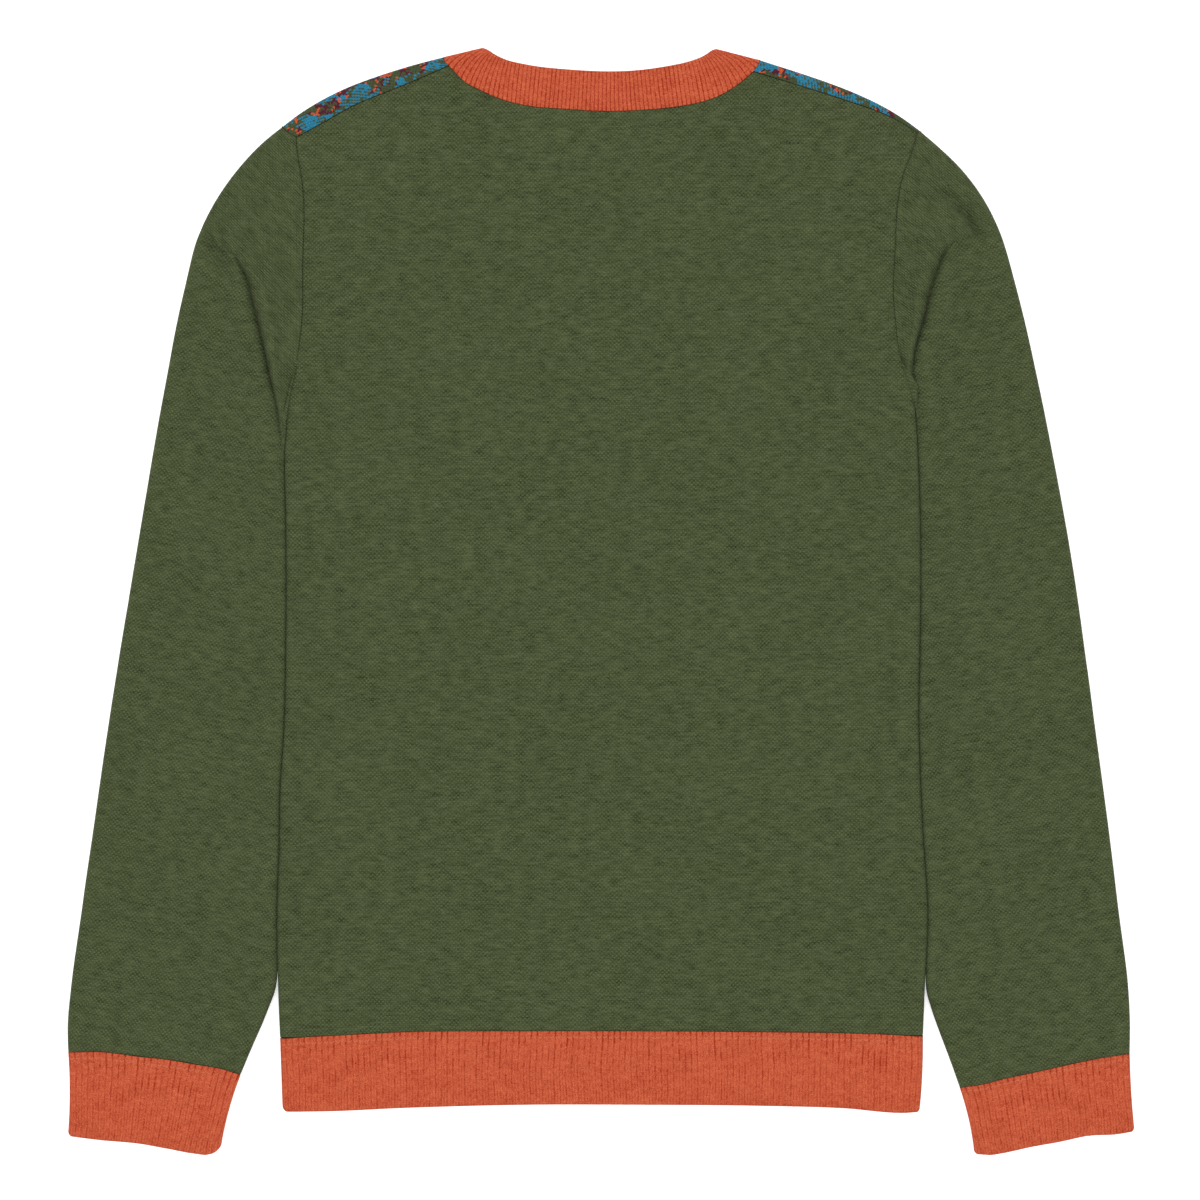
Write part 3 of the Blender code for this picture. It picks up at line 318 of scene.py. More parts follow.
def smooth(rows, spread=None):
    """A smooth curve through rows, as a function of the share of its length.

    spread: how many of the columns measure length.
    """
    p = np.array(rows, float)
    measured = p if spread is None else p[:, :spread]
    at = shares_along(measured)
    slope = np.gradient(p, at, axis=0)

    def point(t):
        i = min(max(int(np.searchsorted(at, t)) - 1, 0), len(at) - 2)
        span = at[i + 1] - at[i]
        u = (t - at[i]) / span
        a = 2 * u**3 - 3 * u**2 + 1
        b = u**3 - 2 * u**2 + u
        c = -2 * u**3 + 3 * u**2
        d = u**3 - u**2
        return a * p[i] + b * span * slope[i] + c * p[i + 1] + d * span * slope[i + 1]

    return point


def run_along(points):
    """Distance along a line at each of its points."""
    return np.concatenate(([0.0], np.cumsum(np.linalg.norm(np.diff(points, axis=0), axis=1))))


def shares_along(points):
    """Share of a line's length at each of its points."""
    at = run_along(points)
    return at / at[-1]


def dense(rows, steps=240):
    curve = smooth(rows)
    return np.array([curve(k / steps) for k in range(steps + 1)])


def length(points):
    return float(np.linalg.norm(np.diff(points, axis=0), axis=1).sum())


def at_length(points, distance):
    """The point of a dense line at a distance from its start, and the direction of the line there."""
    at = run_along(points)
    place = np.array([np.interp(distance, at, points[:, k]) for k in (0, 1)])
    i = min(int(np.searchsorted(at, distance)), len(points) - 1)
    return place, unit(points[max(i, 1)] - points[max(i, 1) - 1])


def at_y(points, y):
    """The same, where a line that runs down the sweater passes y."""
    place = np.array((np.interp(-y, -points[:, 1], points[:, 0]), y))
    i = min(max(int(np.searchsorted(-points[:, 1], -y)), 2), len(points) - 2)
    return place, unit(points[i + 1] - points[i - 1])


def nearest(points, place):
    """(distance, index) of the point of a dense line nearest to a place."""
    gaps = np.hypot(points[:, 0] - place[0], points[:, 1] - place[1])
    i = int(np.argmin(gaps))
    return float(gaps[i]), i


FOLD = {side: dense(rows["fold"]) for side, rows in SIDES.items()}
BAND_FOLD = {side: np.linspace(FOLD[side][0], NECK_PEAK[side], 60) for side in SIDES}
SIDE_LINE = {side: dense(rows["side"][::-1]) for side, rows in SIDES.items()}
ARMHOLE = {side: dense(rows["armhole_back"]) for side, rows in SIDES.items()}
ARMHOLE_UNDER = {side: dense(rows["armhole_front"]) for side, rows in SIDES.items()}
SLEEVE_OUTER = {side: dense(rows["sleeve_outer"]) for side, rows in SIDES.items()}
SLEEVE_INNER = {side: dense(rows["sleeve_inner"]) for side, rows in SIDES.items()}


def fade(distance, width=ROLL_FADE):
    return math.exp(-((max(distance, 0.0) / width) ** 2))


def eased(f):
    f = min(max(f, 0.0), 1.0)
    return f * f * (3 - 2 * f)


def change(at, start, reach):
    """How far a change has come that starts at a place and takes a reach."""
    return eased((at - start) / reach)


def top_height(place):
    """Height of the body's upper face."""
    lift = puff = 0.0
    for side in SIDES:
        shoulder = min(nearest(FOLD[side], place)[0], nearest(BAND_FOLD[side], place)[0])
        lift = max(lift, fade(shoulder - ROLL))
        underarm = SIDE_LINE[side][0]
        line = SIDE_LINE[side] if place[1] < underarm[1] else ARMHOLE[side]
        above = fade(place[1] - underarm[1], UNDERARM_FADE)
        gap = nearest(line, place)[0]
        lift = max(lift, above * fade(gap - ROLL))
        below = 1 - eased((place[1] - underarm[1] + PUFF_STARTS) / PUFF_STARTS)
        puff += SIDE_PUFF * below * math.exp(-(((gap - PUFF_AT) / PUFF_WIDTH) ** 2))
    return LAID + (2 * ROLL - LAID) * lift + puff


def laid(place):
    """Cloth of the upper layer, which turns down over the shoulder folds."""
    z = top_height(place)
    for side in SIDES:
        gap, i = nearest(FOLD[side], place)
        if gap < ROLL:
            out = shoulder_out(side, i)
            level = 1 - gap / ROLL
            rise = math.sqrt(1 - level**2)
            return np.array((*place, z - ROLL * (1 - rise))), np.array((*(out * level), rise))
    return np.array((*place, z)), UP


def under(place):
    return np.array((*place, 0.0)), DOWN


def shoulder_out(side, i):
    """Outward direction of a shoulder fold at one of its points."""
    line = FOLD[side]
    out = turned(unit(line[min(i + 1, len(line) - 1)] - line[max(i - 1, 0)]))
    return out if out[1] > 0 else -out


def on_roll(edge, inward, angle, radius, top=None, reach=None):
    """Cloth at an angle of a roll.

    edge: plan point of its outermost line. reach: from there to the roll's centre, shortened for a part roll.
    """
    a = math.radians(angle)
    reach = radius if reach is None else reach
    top = 2 * radius if top is None else top
    place = edge + inward * (reach - radius * math.cos(a))
    z = top - radius * (1 - math.sin(a)) if angle >= 0 else radius * (1 + math.sin(a))
    return np.array((*place, z)), np.array((*(-inward * math.cos(a)), math.sin(a)))


def along_edge(row, distance, upper):
    """Cloth of a body panel at a distance from its side or armhole edge, measured along the cloth."""
    edge, inward, turn, rolled = row
    bend = math.radians(90 - abs(turn)) if (turn >= 0) == upper else math.radians(90 + abs(turn))
    reach = ROLL if rolled else ROLL * math.cos(math.radians(turn))
    if distance < bend * ROLL - 1e-6:
        swing = math.degrees(distance / ROLL)
        angle = turn + swing if upper else turn - swing
        top = top_height(edge + inward * ROLL) if upper else None
        return on_roll(edge, inward, angle, ROLL, top, reach)
    place = edge + inward * (reach + distance - bend * ROLL)
    return laid(place) if upper else under(place)


def seam_points(points, steps, last):
    """Places along a seam from its start: at the near distances, then in even steps, then two at its end."""
    total = length(points)
    far = [NEAR[-1] + (total - NEAR[-1]) * k / (steps - 1) for k in range(1, steps - 1)]
    placed = [at_length(points, d)[0] for d in (*NEAR, *far)]
    end = np.array(last)
    return placed + [end + unit(placed[-1] - end) * SUPPORT, end]


def bisected(points):
    """Unit normals of an open line of places, to the left of its direction."""
    found = []
    for i, _ in enumerate(points):
        before = points[max(i - 1, 0)]
        after = points[min(i + 1, len(points) - 1)]
        found.append(turned(unit(after - before)))
    return found


def levelled(points, ways, sign):
    """Inward directions along an armhole, level at the underarm and turning slowly to the seam's own."""
    level = np.array((-float(sign), 0.0))
    shares = np.minimum(run_along(points) / LEVEL_REACH, 1.0)
    return [unit(level + (way - level) * share) for share, way in zip(shares, ways)]


def shoulder_stack(side, place, fold_index):
    """Cloth from a place near the shoulder fold, over the fold, to the underside."""
    edge = FOLD[side][fold_index]
    inward = -shoulder_out(side, fold_index)
    depth = float(np.dot(place - edge, inward))
    start = 90.0 if depth > ROLL + 0.6 else math.degrees(math.acos(1 - min(depth, ROLL) / ROLL))
    share = 1.0 if start == 90.0 else 0.8 * start / 90.0
    angles = [a * share if a > 0 else a for a in ARC]
    return [laid(place)] + [on_roll(edge, inward, a, ROLL) for a in angles]


def shifted(cloth, move):
    place, out = cloth
    return place + np.array((*move, 0.0)), out


def layout(side):
    """The seam places that neighbouring pieces share on one side of the sweater."""
    rows = SIDES[side]
    sign = rows["sign"]
    corner = np.array(rows["armhole_back"][-1])
    fold_end = len(FOLD[side]) - 1
    stack = shoulder_stack(side, corner, fold_end)
    back = seam_points(ARMHOLE[side], ARMHOLE_STEPS, corner)
    front = seam_points(ARMHOLE_UNDER[side], ARMHOLE_STEPS, stack[-1][0][:2])
    seam = dense(rows["shoulder_seam"])
    shoulder = [at_length(seam, d)[0] for d in (*SHOULDER, length(seam))]
    inward_back = levelled(back, [n * sign for n in bisected(back)], sign)
    inward_front = levelled(front, [n * sign for n in bisected(front)], sign)
    tangent = unit(FOLD[side][-8] - FOLD[side][-1])
    inward_front[-1] = tangent
    folds = [fold_end] + [nearest(FOLD[side], p)[1] for p in shoulder[1:-1]] + [0]
    return {
        "back": back,
        "front": front,
        "inward_back": inward_back,
        "inward_front": inward_front,
        "stack": stack,
        "tangent": tangent,
        "shoulder": shoulder,
        "shoulder_back": [n if n[1] < 0 else -n for n in bisected(shoulder)],
        "folds": folds,
    }


LAYOUT = {side: layout(side) for side in SIDES}


def seam_turn(distance):
    """Degrees round the roll where an armhole seam lies, at a distance above the underarm."""
    return float(np.interp(distance, (0.0, 4.0, 10.0, 15.0), (2.4, 42.0, 76.0, 90.0)))


def armhole_gap(i):
    """From the armhole's centre line to the cloth's edge, at the seam place counted from the underarm."""
    return SEAM_GAP / 2 * min(i / len(NEAR), 1.0)


def panel_rows(side, upper):
    """Edge rows of a body panel, hem to shoulder: (edge place, inward direction, turn, rolled)."""
    shared = LAYOUT[side]
    sign = SIDES[side]["sign"]
    line = SIDE_LINE[side]
    total = length(line)
    gap = math.degrees(SEAM_GAP / 2 / ROLL)
    rows = []
    for k in range(SIDE_STEPS):
        share = max(SIDE_SHARE * (k - 1) / (SIDE_STEPS - 2), 0.0)
        share = SUPPORT / total if k == 1 else share
        place, _ = at_length(line, total * (1 - share))
        turn = SIDE_SEAM_TURN * (1 - fade(total * (1 - share), SIDE_TURNS))
        rows.append((place, np.array((-float(sign), 0.0)), turn + (gap if upper else -gap), True))
    seam = shared["back" if upper else "front"]
    ways = shared["inward_back" if upper else "inward_front"]
    for i, (place, inward) in enumerate(zip(seam, ways)):
        turn = seam_turn(NEAR[i]) if i < len(NEAR) else 90.0
        inward = np.array((-float(sign), 0.0)) if i == 0 else inward
        rows.append((place + inward * armhole_gap(i), inward, turn if upper else -turn, False))
    return rows


def coons(left, right, bottom, top):
    """Plan places filling four boundary lines that share their corners."""
    share_bottom = shares_along(bottom)
    share_top = shares_along(top)
    climb = (shares_along(left) + shares_along(right)) / 2
    grid = []
    for a, b, v in zip(left, right, climb):
        line = []
        for j in range(len(bottom)):
            s = (1 - v) * share_bottom[j] + v * share_top[j]
            edge = (1 - s) * a + s * b + (1 - v) * bottom[j] + v * top[j]
            corner = (1 - s) * (1 - v) * bottom[0] + s * (1 - v) * bottom[-1]
            corner = corner + (1 - s) * v * top[0] + s * v * top[-1]
            line.append(edge - corner)
        grid.append(line)
    return grid


def hem_seam_at(x):
    points = dense(HEM_SEAM)
    return np.array((x, np.interp(x, points[:, 0], points[:, 1])))


def neck_back():
    """Sections of the neckband at the back: (seam place, free place), left to right."""
    curve = smooth(NECK_BACK, 2)
    return [(curve(k / NECK_STEPS)[:2], curve(k / NECK_STEPS)[2:]) for k in range(NECK_STEPS + 1)]


def neck_front():
    """The same at the front, left to right, from the underside of one fold to that of the other."""
    ends = {side: fold_foot(side, 0) for side in SIDES}
    frees = {side: band_end(side, -90)[0][:2] for side in SIDES}
    points = dense((ends["left"], *NECK_FRONT, ends["right"]))
    total = length(points)
    found = []
    for k in range(NECK_STEPS + 1):
        place, along = at_length(points, total * k / NECK_STEPS)
        free = place + turned(along) * BAND_WIDTH
        edge = min(k, NECK_STEPS - k)
        side = "left" if k < NECK_STEPS / 2 else "right"
        pull = fade(edge, NECK_STEPS / 12)
        found.append((place, (1 - pull) * free + pull * (frees[side] + (place - ends[side]))))
    found[0] = (ends["left"], frees["left"])
    found[-1] = (ends["right"], frees["right"])
    return found


def band_end(side, angle):
    """The neckband's free edge on its fold."""
    along = unit(np.array(NECK_PEAK[side]) - FOLD[side][0])
    inward = turned(along) * SIDES[side]["sign"]
    cloth = on_roll(np.array(NECK_PEAK[side]), inward, angle, BAND_ROLL)
    depth = BAND_ROLL * (1 - math.cos(math.radians(angle)))
    return shifted(cloth, along * PEAK_ROUND * math.sqrt(max(depth, 0.0)))


def toward(seam, free):
    return unit(np.array(free)[:2] - np.array(seam)[:2])


def fold_foot(side, i):
    """Where the cloth turned over a shoulder fold reaches the underside."""
    return on_roll(FOLD[side][i], -shoulder_out(side, i), -90, ROLL)[0][:2]


def top_line(upper):
    """Places along a body panel's top edge, left to right: shoulder, neckline, shoulder."""
    sections = neck_back() if upper else neck_front()
    neck = [seam - toward(seam, free) * SEAM_GAP / 2 for seam, free in sections]
    found = {}
    for side in SIDES:
        shared = LAYOUT[side]
        if upper:
            line = [p + n * SHOULDER_GAP / 2 for p, n in zip(shared["shoulder"], shared["shoulder_back"])]
        else:
            line = [fold_foot(side, k) for k in shared["folds"]]
        line[0] = line[0] + shared["tangent"] * SEAM_GAP / 2
        found[side] = line[:-1]
        if upper:
            end = 0 if side == "left" else -1
            neck[end] = neck[end] + shared["shoulder_back"][-1] * SHOULDER_GAP / 2
    return found["left"] + neck + found["right"][::-1]


def panel(upper):
    """Grid of cloth of the back (upper), or of the front up to the shoulder folds, with its grain."""
    rows = {side: panel_rows(side, upper) for side in SIDES}
    inner = {side: [along_edge(r, EDGE[-1], upper)[0][:2] for r in rows[side]] for side in SIDES}
    top = top_line(upper)
    skip = len(EDGE) - 1
    across = top[skip:len(top) - skip]
    inner["left"][-1] = across[0]
    inner["right"][-1] = across[-1]
    shares = np.linspace(0, 1, len(across))
    lines = []
    for lift in (SEAM_GAP / 2, SEAM_GAP / 2 + SUPPORT):
        first, last = inner["left"][len(lines)], inner["right"][len(lines)]
        up = np.array((0.0, lift))
        lines.append([hem_seam_at(first[0] + (last[0] - first[0]) * s) + up for s in shares])
    for i, line in enumerate(lines):
        for side, end in (("left", 0), ("right", -1)):
            inner[side][i] = line[end]
            place, inward, turn, rolled = rows[side][i]
            rows[side][i] = (np.array((place[0], line[end][1])), inward, turn, rolled)
    grid = [lines[0]] + coons(inner["left"][1:], inner["right"][1:], lines[1], across)
    cloth, grain = [], []
    face = laid if upper else under
    for left, right, line in zip(rows["left"], rows["right"], grid[:-1]):
        start, end = ([along_edge(row, d, upper) for d in EDGE[:-1]] for row in (left, right))
        cloth.append(start + [face(p) for p in line] + end[::-1])
        start, end = ([p - row[1] * (EDGE[-1] - d) for d in EDGE[:-1]]
                      for row, p in ((left, line[0]), (right, line[-1])))
        grain.append(start + list(line) + end[::-1])
    return cloth + [[face(p) for p in top]], grain + [top]


def shoulder_wrap(side):
    """Stacks of cloth that carry the front over the shoulder fold to the shoulder seam, armhole to neck."""
    shared = LAYOUT[side]
    stacks = []
    for i, (place, k) in enumerate(zip(shared["shoulder"], shared["folds"])):
        stack = shoulder_stack(side, place - shared["shoulder_back"][i] * SHOULDER_GAP / 2, k)
        if i == 0:
            stack = [shifted(c, shared["tangent"] * SEAM_GAP / 2) for c in stack]
        if i == len(shared["folds"]) - 1:
            move = -toward(FOLD[side][0], NECK_PEAK[side]) * SEAM_GAP / 2
            stack = [shifted(c, move) for c in stack]
        stacks.append(stack)
    return stacks


def grid_quads(rows, columns, closed=False):
    quads = []
    for i in range(rows - 1):
        for j in range(columns if closed else columns - 1):
            k = (j + 1) % columns
            quads.append((i * columns + j, i * columns + k, (i + 1) * columns + k, (i + 1) * columns + j))
    return quads


def surface_ways(places, ways, quads):
    """Outward directions at right angles to the cloth where it isn't level."""
    q = np.array(quads)
    facing = np.cross(places[q[:, 2]] - places[q[:, 0]], places[q[:, 3]] - places[q[:, 1]])
    total = np.zeros_like(places)
    for k in range(4):
        np.add.at(total, q[:, k], facing)
    total *= np.sign((total * ways).sum(1).sum())
    total /= np.maximum(np.linalg.norm(total, axis=1), 1e-9)[:, None]
    level = np.abs(ways[:, 2]) > 0.999
    ways = ways.copy()
    ways[level] = total[level]
    return ways


def knit_shell(name, cloth, quads, grains, uses, material, wrinkles=None, tilt=False, slanted=()):
    """A closed shell of knit, finely divided: outer face, inner face one wall behind, and rims.

    grains: sets of plan places, one for each point, that the knit's stitches follow. uses: which set each
    quad reads. wrinkles: a function of plan places that gives the height of the soft creases there.
    tilt: whether parts of the cloth aren't level. slanted: the sets whose stitches are pulled to one side.
    """
    outer = np.array([place for place, _ in cloth])
    out = np.array([unit(way) for _, way in cloth])
    if tilt:
        out = surface_ways(outer, out, quads)
    owner = {}
    for f, q in enumerate(quads):
        for a, b in zip(q, (*q[1:], q[0])):
            owner[(a, b)] = f
    rims = [(a, b) for a, b in owner if (b, a) not in owner]
    q = np.array(quads)
    facing = np.cross(outer[q[:, 2]] - outer[q[:, 0]], outer[q[:, 3]] - outer[q[:, 1]])
    inside_out = (facing * (out[q[:, 0]] + out[q[:, 2]])).sum() < 0
    inner = outer - WALL * out
    edge = sorted({k for pair in rims for k in pair})
    outer[edge] -= SEAM_DIP * np.maximum(out[edge, 2:], 0) * out[edge]
    n = len(cloth)
    faces, sets = [], []
    for q, s in zip(quads, uses):
        faces.append(tuple(q))
        faces.append(tuple(k + n for k in q[::-1]))
        sets += [s, s]
    for a, b in rims:
        faces.append((b, a, a + n, b + n))
        sets.append(uses[owner[(a, b)]])
    if inside_out:
        faces = [f[::-1] for f in faces]
    mesh = bpy.data.meshes.new(name)
    mesh.from_pydata((np.vstack((outer, inner)) * MM).tolist(), [], faces)
    places = np.array(grains)
    uv = mesh.uv_layers.new(name="grain")
    corners = [places[s][k % n] * MM for f, s in zip(faces, sets) for k in f]
    uv.data.foreach_set("uv", np.array(corners, np.float32).ravel())
    sharp = {tuple(sorted(p)) for p in rims} | {tuple(sorted((a + n, b + n))) for a, b in rims}
    if slanted:
        put_attribute(mesh, "slant", [s in slanted for s in sets], "FACE")
    put_attribute(mesh, "crease_edge", [tuple(sorted(e.vertices)) in sharp for e in mesh.edges], "EDGE")
    following = dict(rims)
    bends = set()
    for a, b in rims:
        if np.dot(unit(outer[b] - outer[a]), unit(outer[following[b]] - outer[b])) < 0.77:
            bends |= {b, b + n}
    put_attribute(mesh, "crease_vert", [k in bends for k in range(2 * n)])
    made = put_object(name, mesh)
    divide = made.modifiers.new("divide", "SUBSURF")
    divide.levels = divide.render_levels = 1
    made.data = applied(made)
    made.modifiers.clear()
    if wrinkles:
        move_points(made.data, wrinkles)
    return finish_mesh(made, material)


def applied(made):
    """The object's mesh with its modifiers applied."""
    graph = bpy.context.evaluated_depsgraph_get()
    return bpy.data.meshes.new_from_object(made.evaluated_get(graph), depsgraph=graph)


def move_points(mesh, wrinkles):
    """Raises the points of the upper layer by the height of the creases there."""
    points = np.empty(len(mesh.vertices) * 3, np.float32)
    mesh.vertices.foreach_get("co", points)
    points = points.reshape(-1, 3).astype(float) / MM
    upper = np.clip((points[:, 2] - UPPER_FROM) / UPPER_BLEND, 0, 1)
    points[:, 2] += upper * wrinkles(points[:, :2])
    mesh.vertices.foreach_set("co", (points * MM).astype(np.float32).ravel())
    mesh.update()


def soft_creases(rows):
    """The height of a table of creases and of the cloth's own unevenness, as a function of plan places."""
    drawn = np.random.default_rng(SEED)
    ways = drawn.uniform(0, math.pi, UNEVEN_WAVES)
    spans = drawn.uniform(*UNEVEN_SPANS, UNEVEN_WAVES)
    starts = drawn.uniform(0, 2 * math.pi, UNEVEN_WAVES)

    def height(places):
        total = np.zeros(len(places))
        for way, span, start in zip(ways, spans, starts):
            along = places @ np.array((math.cos(way), math.sin(way)))
            total += UNEVEN * span * np.sin(along * 2 * math.pi / span + start)
        for x0, y0, x1, y1, width, tall in rows:
            start = np.array((x0, y0))
            along = np.array((x1, y1)) - start
            t = (places - start) @ along / np.dot(along, along)
            c = np.clip(t, 0, 1)
            gap = np.linalg.norm(places - start - c[:, None] * along, axis=1)
            ends = np.sin(math.pi * (CREASE_FADE + (1 - 2 * CREASE_FADE) * c))
            total += tall * np.exp(-((gap / width) ** 2)) * ends
        return total
    return height


def finish_mesh(made, material):
    mesh = made.data
    mesh.materials.clear()
    mesh.materials.append(material)
    mesh.shade_smooth()
    mesh.set_sharp_from_angle(angle=math.radians(50))
    return made


def build_body(olive, patterned):
    cloth, grain = panel(True)
    quads = grid_quads(len(cloth), len(cloth[0]))
    back = knit_shell("back_knit", sum(cloth, []), quads, [sum(map(list, grain), [])], [0] * len(quads),
                      olive, soft_creases(BACK_CREASES))
    cloth, grain = panel(False)
    columns = len(cloth[0])
    quads = grid_quads(len(cloth), columns)
    top = (len(cloth) - 1) * columns
    cloth, grain = sum(cloth, []), sum(map(list, grain), [])
    for side in SIDES:
        stacks = shoulder_wrap(side)
        levels = len(stacks[0]) - 1
        base = len(cloth)
        left = side == "left"
        for i, stack in enumerate(stacks):
            foot = top + i if left else top + columns - 1 - i
            cloth[foot] = stack[-1]
            run = run_along([place for place, _ in stack[::-1]])
            out = shoulder_out(side, LAYOUT[side]["folds"][i])
            cloth += stack[:levels]
            grain += [grain[foot] + out * run[levels - m] for m in range(levels)]
        for i in range(len(stacks) - 1):
            a, b = (i, i + 1) if left else (i + 1, i)
            ends = (top + a, top + b) if left else (top + columns - 1 - a, top + columns - 1 - b)
            for m in range(levels):
                lower_a = base + a * levels + m + 1 if m + 1 < levels else ends[0]
                lower_b = base + b * levels + m + 1 if m + 1 < levels else ends[1]
                quads.append((lower_a, lower_b, base + b * levels + m, base + a * levels + m))
    return back, knit_shell("front_knit", cloth, quads, [grain], [0] * len(quads), patterned)


def sleeve_ends(side, outer_y, inner_y, edge):
    """The two edge places of a sleeve section with their inward directions, and the two roll radii."""
    rows = SIDES[side]
    sign = rows["sign"]
    outer, along = at_y(SLEEVE_OUTER[side], outer_y)
    outer_in = turned(along) * sign
    if outer_in[0] * sign > 0:
        outer_in = -outer_in
    split = rows["sleeve_inner"][0][1]
    if inner_y > split:
        start = rows["armhole_back"][0][1]
        gap = SIDE_GAP * (1 - fade(start - inner_y, 3))
        place, _ = at_y(SIDE_LINE[side], inner_y)
        inner = place + np.array((sign * gap, 0.0))
        inner_in = np.array((float(sign), 0.0))
    else:
        inner, along = at_y(SLEEVE_INNER[side], inner_y)
        inner = inner + np.array((sign * SIDE_GAP * fade(split - inner_y, LEAVES_SIDE), 0.0))
        inner_in = turned(along)
        if inner_in[0] * sign < 0:
            inner_in = -inner_in
    low = fade(outer_y - rows["cuff_seam"][0][1], ROLL_LOWERS)
    return outer, outer_in, inner, inner_in, ROLL + (LOW_ROLL - ROLL) * low, edge


def roll_feet(ends):
    """Plan places where a sleeve section leaves its two rolls."""
    outer, outer_in, inner, inner_in, radius, edge = ends
    return outer + outer_in * radius, inner + inner_in * edge


def sleeve_guide(side, section, lines, late=3):
    """Plan places of a sleeve section, upper then under, between its two rolls.

    lines: the section's shape across, as a function of its share, or None where it is straight. late: how
    close to its inner end it leaves that shape to meet the roll.
    """
    a, b = roll_feet(sleeve_ends(side, *section))
    below = [a + (b - a) * t for t in SLEEVE_UNDER]
    if lines is None:
        return [a + (b - a) * t for t in SLEEVE_TOP], below
    start, end = lines(0.0), lines(1.0)
    return [lines(t) + (a - start) * (1 - t) ** 3 + (b - end) * t**late for t in SLEEVE_TOP], below


def fold_height(side, t, past):
    """Share of the valley's height at a share of the crease, from the outer edge in, and past the floor."""
    deepening = change(t, SIDES[side]["crease_start"], FOLD_DEEPENS + FOLD_SPREADS * max(past, 0.0))
    return deepening * (1 - 0.5 * change(t, *FOLD_SINKS)) * (1 - change(t, *FOLD_ENDS))


def fold_line(side, distance):
    """A line along the crease, at a distance past it, as a function of the share of the sleeve's width.

    Far past the crease the line straightens, as the sections of the sleeve below are straight.
    """
    rows = SIDES[side]
    crease = smooth(rows["crease"])
    down_edge = unit(at_y(SLEEVE_OUTER[side], rows["crease"][0][1])[1])
    down = np.array((0.0, -1.0))
    straight = change(distance, *ROWS_STRAIGHTEN)

    def bent(t):
        reach = 0.02 + 0.012 * max(distance, 0.0)
        along = unit(crease(min(t + reach, 1.0)) - crease(max(t - reach, 0.0)))
        way = turned(along)
        way = way if way @ np.array((rows["sign"], -1.0)) > 0 else -way
        way = unit(way + (down_edge - way) * (1 - eased(t / (0.14 + 0.016 * max(distance, 0.0)))))
        last = change(t, *FOLD_TURNS_DOWN)
        narrow = 1 - 0.62 * change(t, *FOLD_NARROWS) if distance < 0 else 1.0
        return crease(t) + (way * (1 - last) * narrow + down * last) * distance

    def line(t):
        return (1 - straight) * bent(t) + straight * ((1 - t) * bent(0.0) + t * bent(1.0))

    return line


def sleeve_stations(side, back, under_at):
    """Sections down a sleeve: (rings from the last, end values, plan places, heights of the upper cloth)."""
    first, fold, *rest = SLEEVE_SECTIONS[side]
    steps, outer_y, inner_y, edge = fold
    found = [(0, first[1:], (back[:len(NEAR) - 1:-1], under_at), None)]
    for k, (distance, share) in enumerate(CREASE_ROWS):
        wide = edge + (TUCK - edge) * eased(distance / FOLD_WIDENS)
        ends = (outer_y - distance * OUTER_CLOSER, inner_y - distance, wide)
        guide = sleeve_guide(side, ends, fold_line(side, distance), 8)
        folds = [FOLD_LIFT * share * fold_height(side, t, distance) for t in SLEEVE_TOP]
        found.append((1 if k else steps, ends, guide, section_heights(side, guide[0], ends, folds)))
    for row in rest:
        steps, *section = row
        guide = sleeve_guide(side, section, smooth(SIDES[side]["cuff_seam"]) if row is rest[-1] else None)
        level = [0.0] * len(SLEEVE_TOP)
        found.append((steps, section, guide, section_heights(side, guide[0], section, level)))
    return found


def sleeve_rings(side):
    """Rings of cloth from the armhole to the cuff seam, their ends, and the ring at the valley's floor."""
    shared = LAYOUT[side]
    gap = SEAM_GAP / 2
    back, front = (
        [p - n * armhole_gap(i) for i, (p, n) in enumerate(zip(shared[seam], shared[f"inward_{seam}"]))]
        for seam in ("back", "front")
    )
    near = len(NEAR)
    under_at = [front[near + round((len(front) - near - 1) * k / UNDER_STEPS)] for k in range(1, UNDER_STEPS)]
    stations = sleeve_stations(side, back, under_at)
    rings = [armhole_ring(side, back, front, under_at)]
    ends = [sleeve_ends(side, *stations[0][1])]
    first = len(ARC)
    heights = [c[0][2] for c in rings[0][first:first + ARMHOLE_STEPS]]
    for n in range(1, len(stations)):
        steps, goal, _, goal_heights = stations[n]
        shares = [k / steps for k in range(1, steps + 1)]
        if n == 1:
            shares = [FIRST_RING] + shares
        if n == len(stations) - 1:
            shares.insert(-1, 1 - SUPPORT / LAST_SECTION)
        for f in shares:
            now = [(1 - f) * a + f * b for a, b in zip(stations[n - 1][1], goal)]
            rise = f**CAP_EASE if n == 1 else f
            between = [(1 - rise) * a + rise * b for a, b in zip(heights, goal_heights)]
            rings.append(blended_ring(side, now, stations[n - 1], stations[n], f, between))
            ends.append(sleeve_ends(side, *now))
        heights = goal_heights
    rings[-1] = [shifted(c, np.array((0.0, gap))) for c in rings[-1]]
    foot = 1 + stations[1][0] + CREASE_FLOOR
    return rings, ends, foot


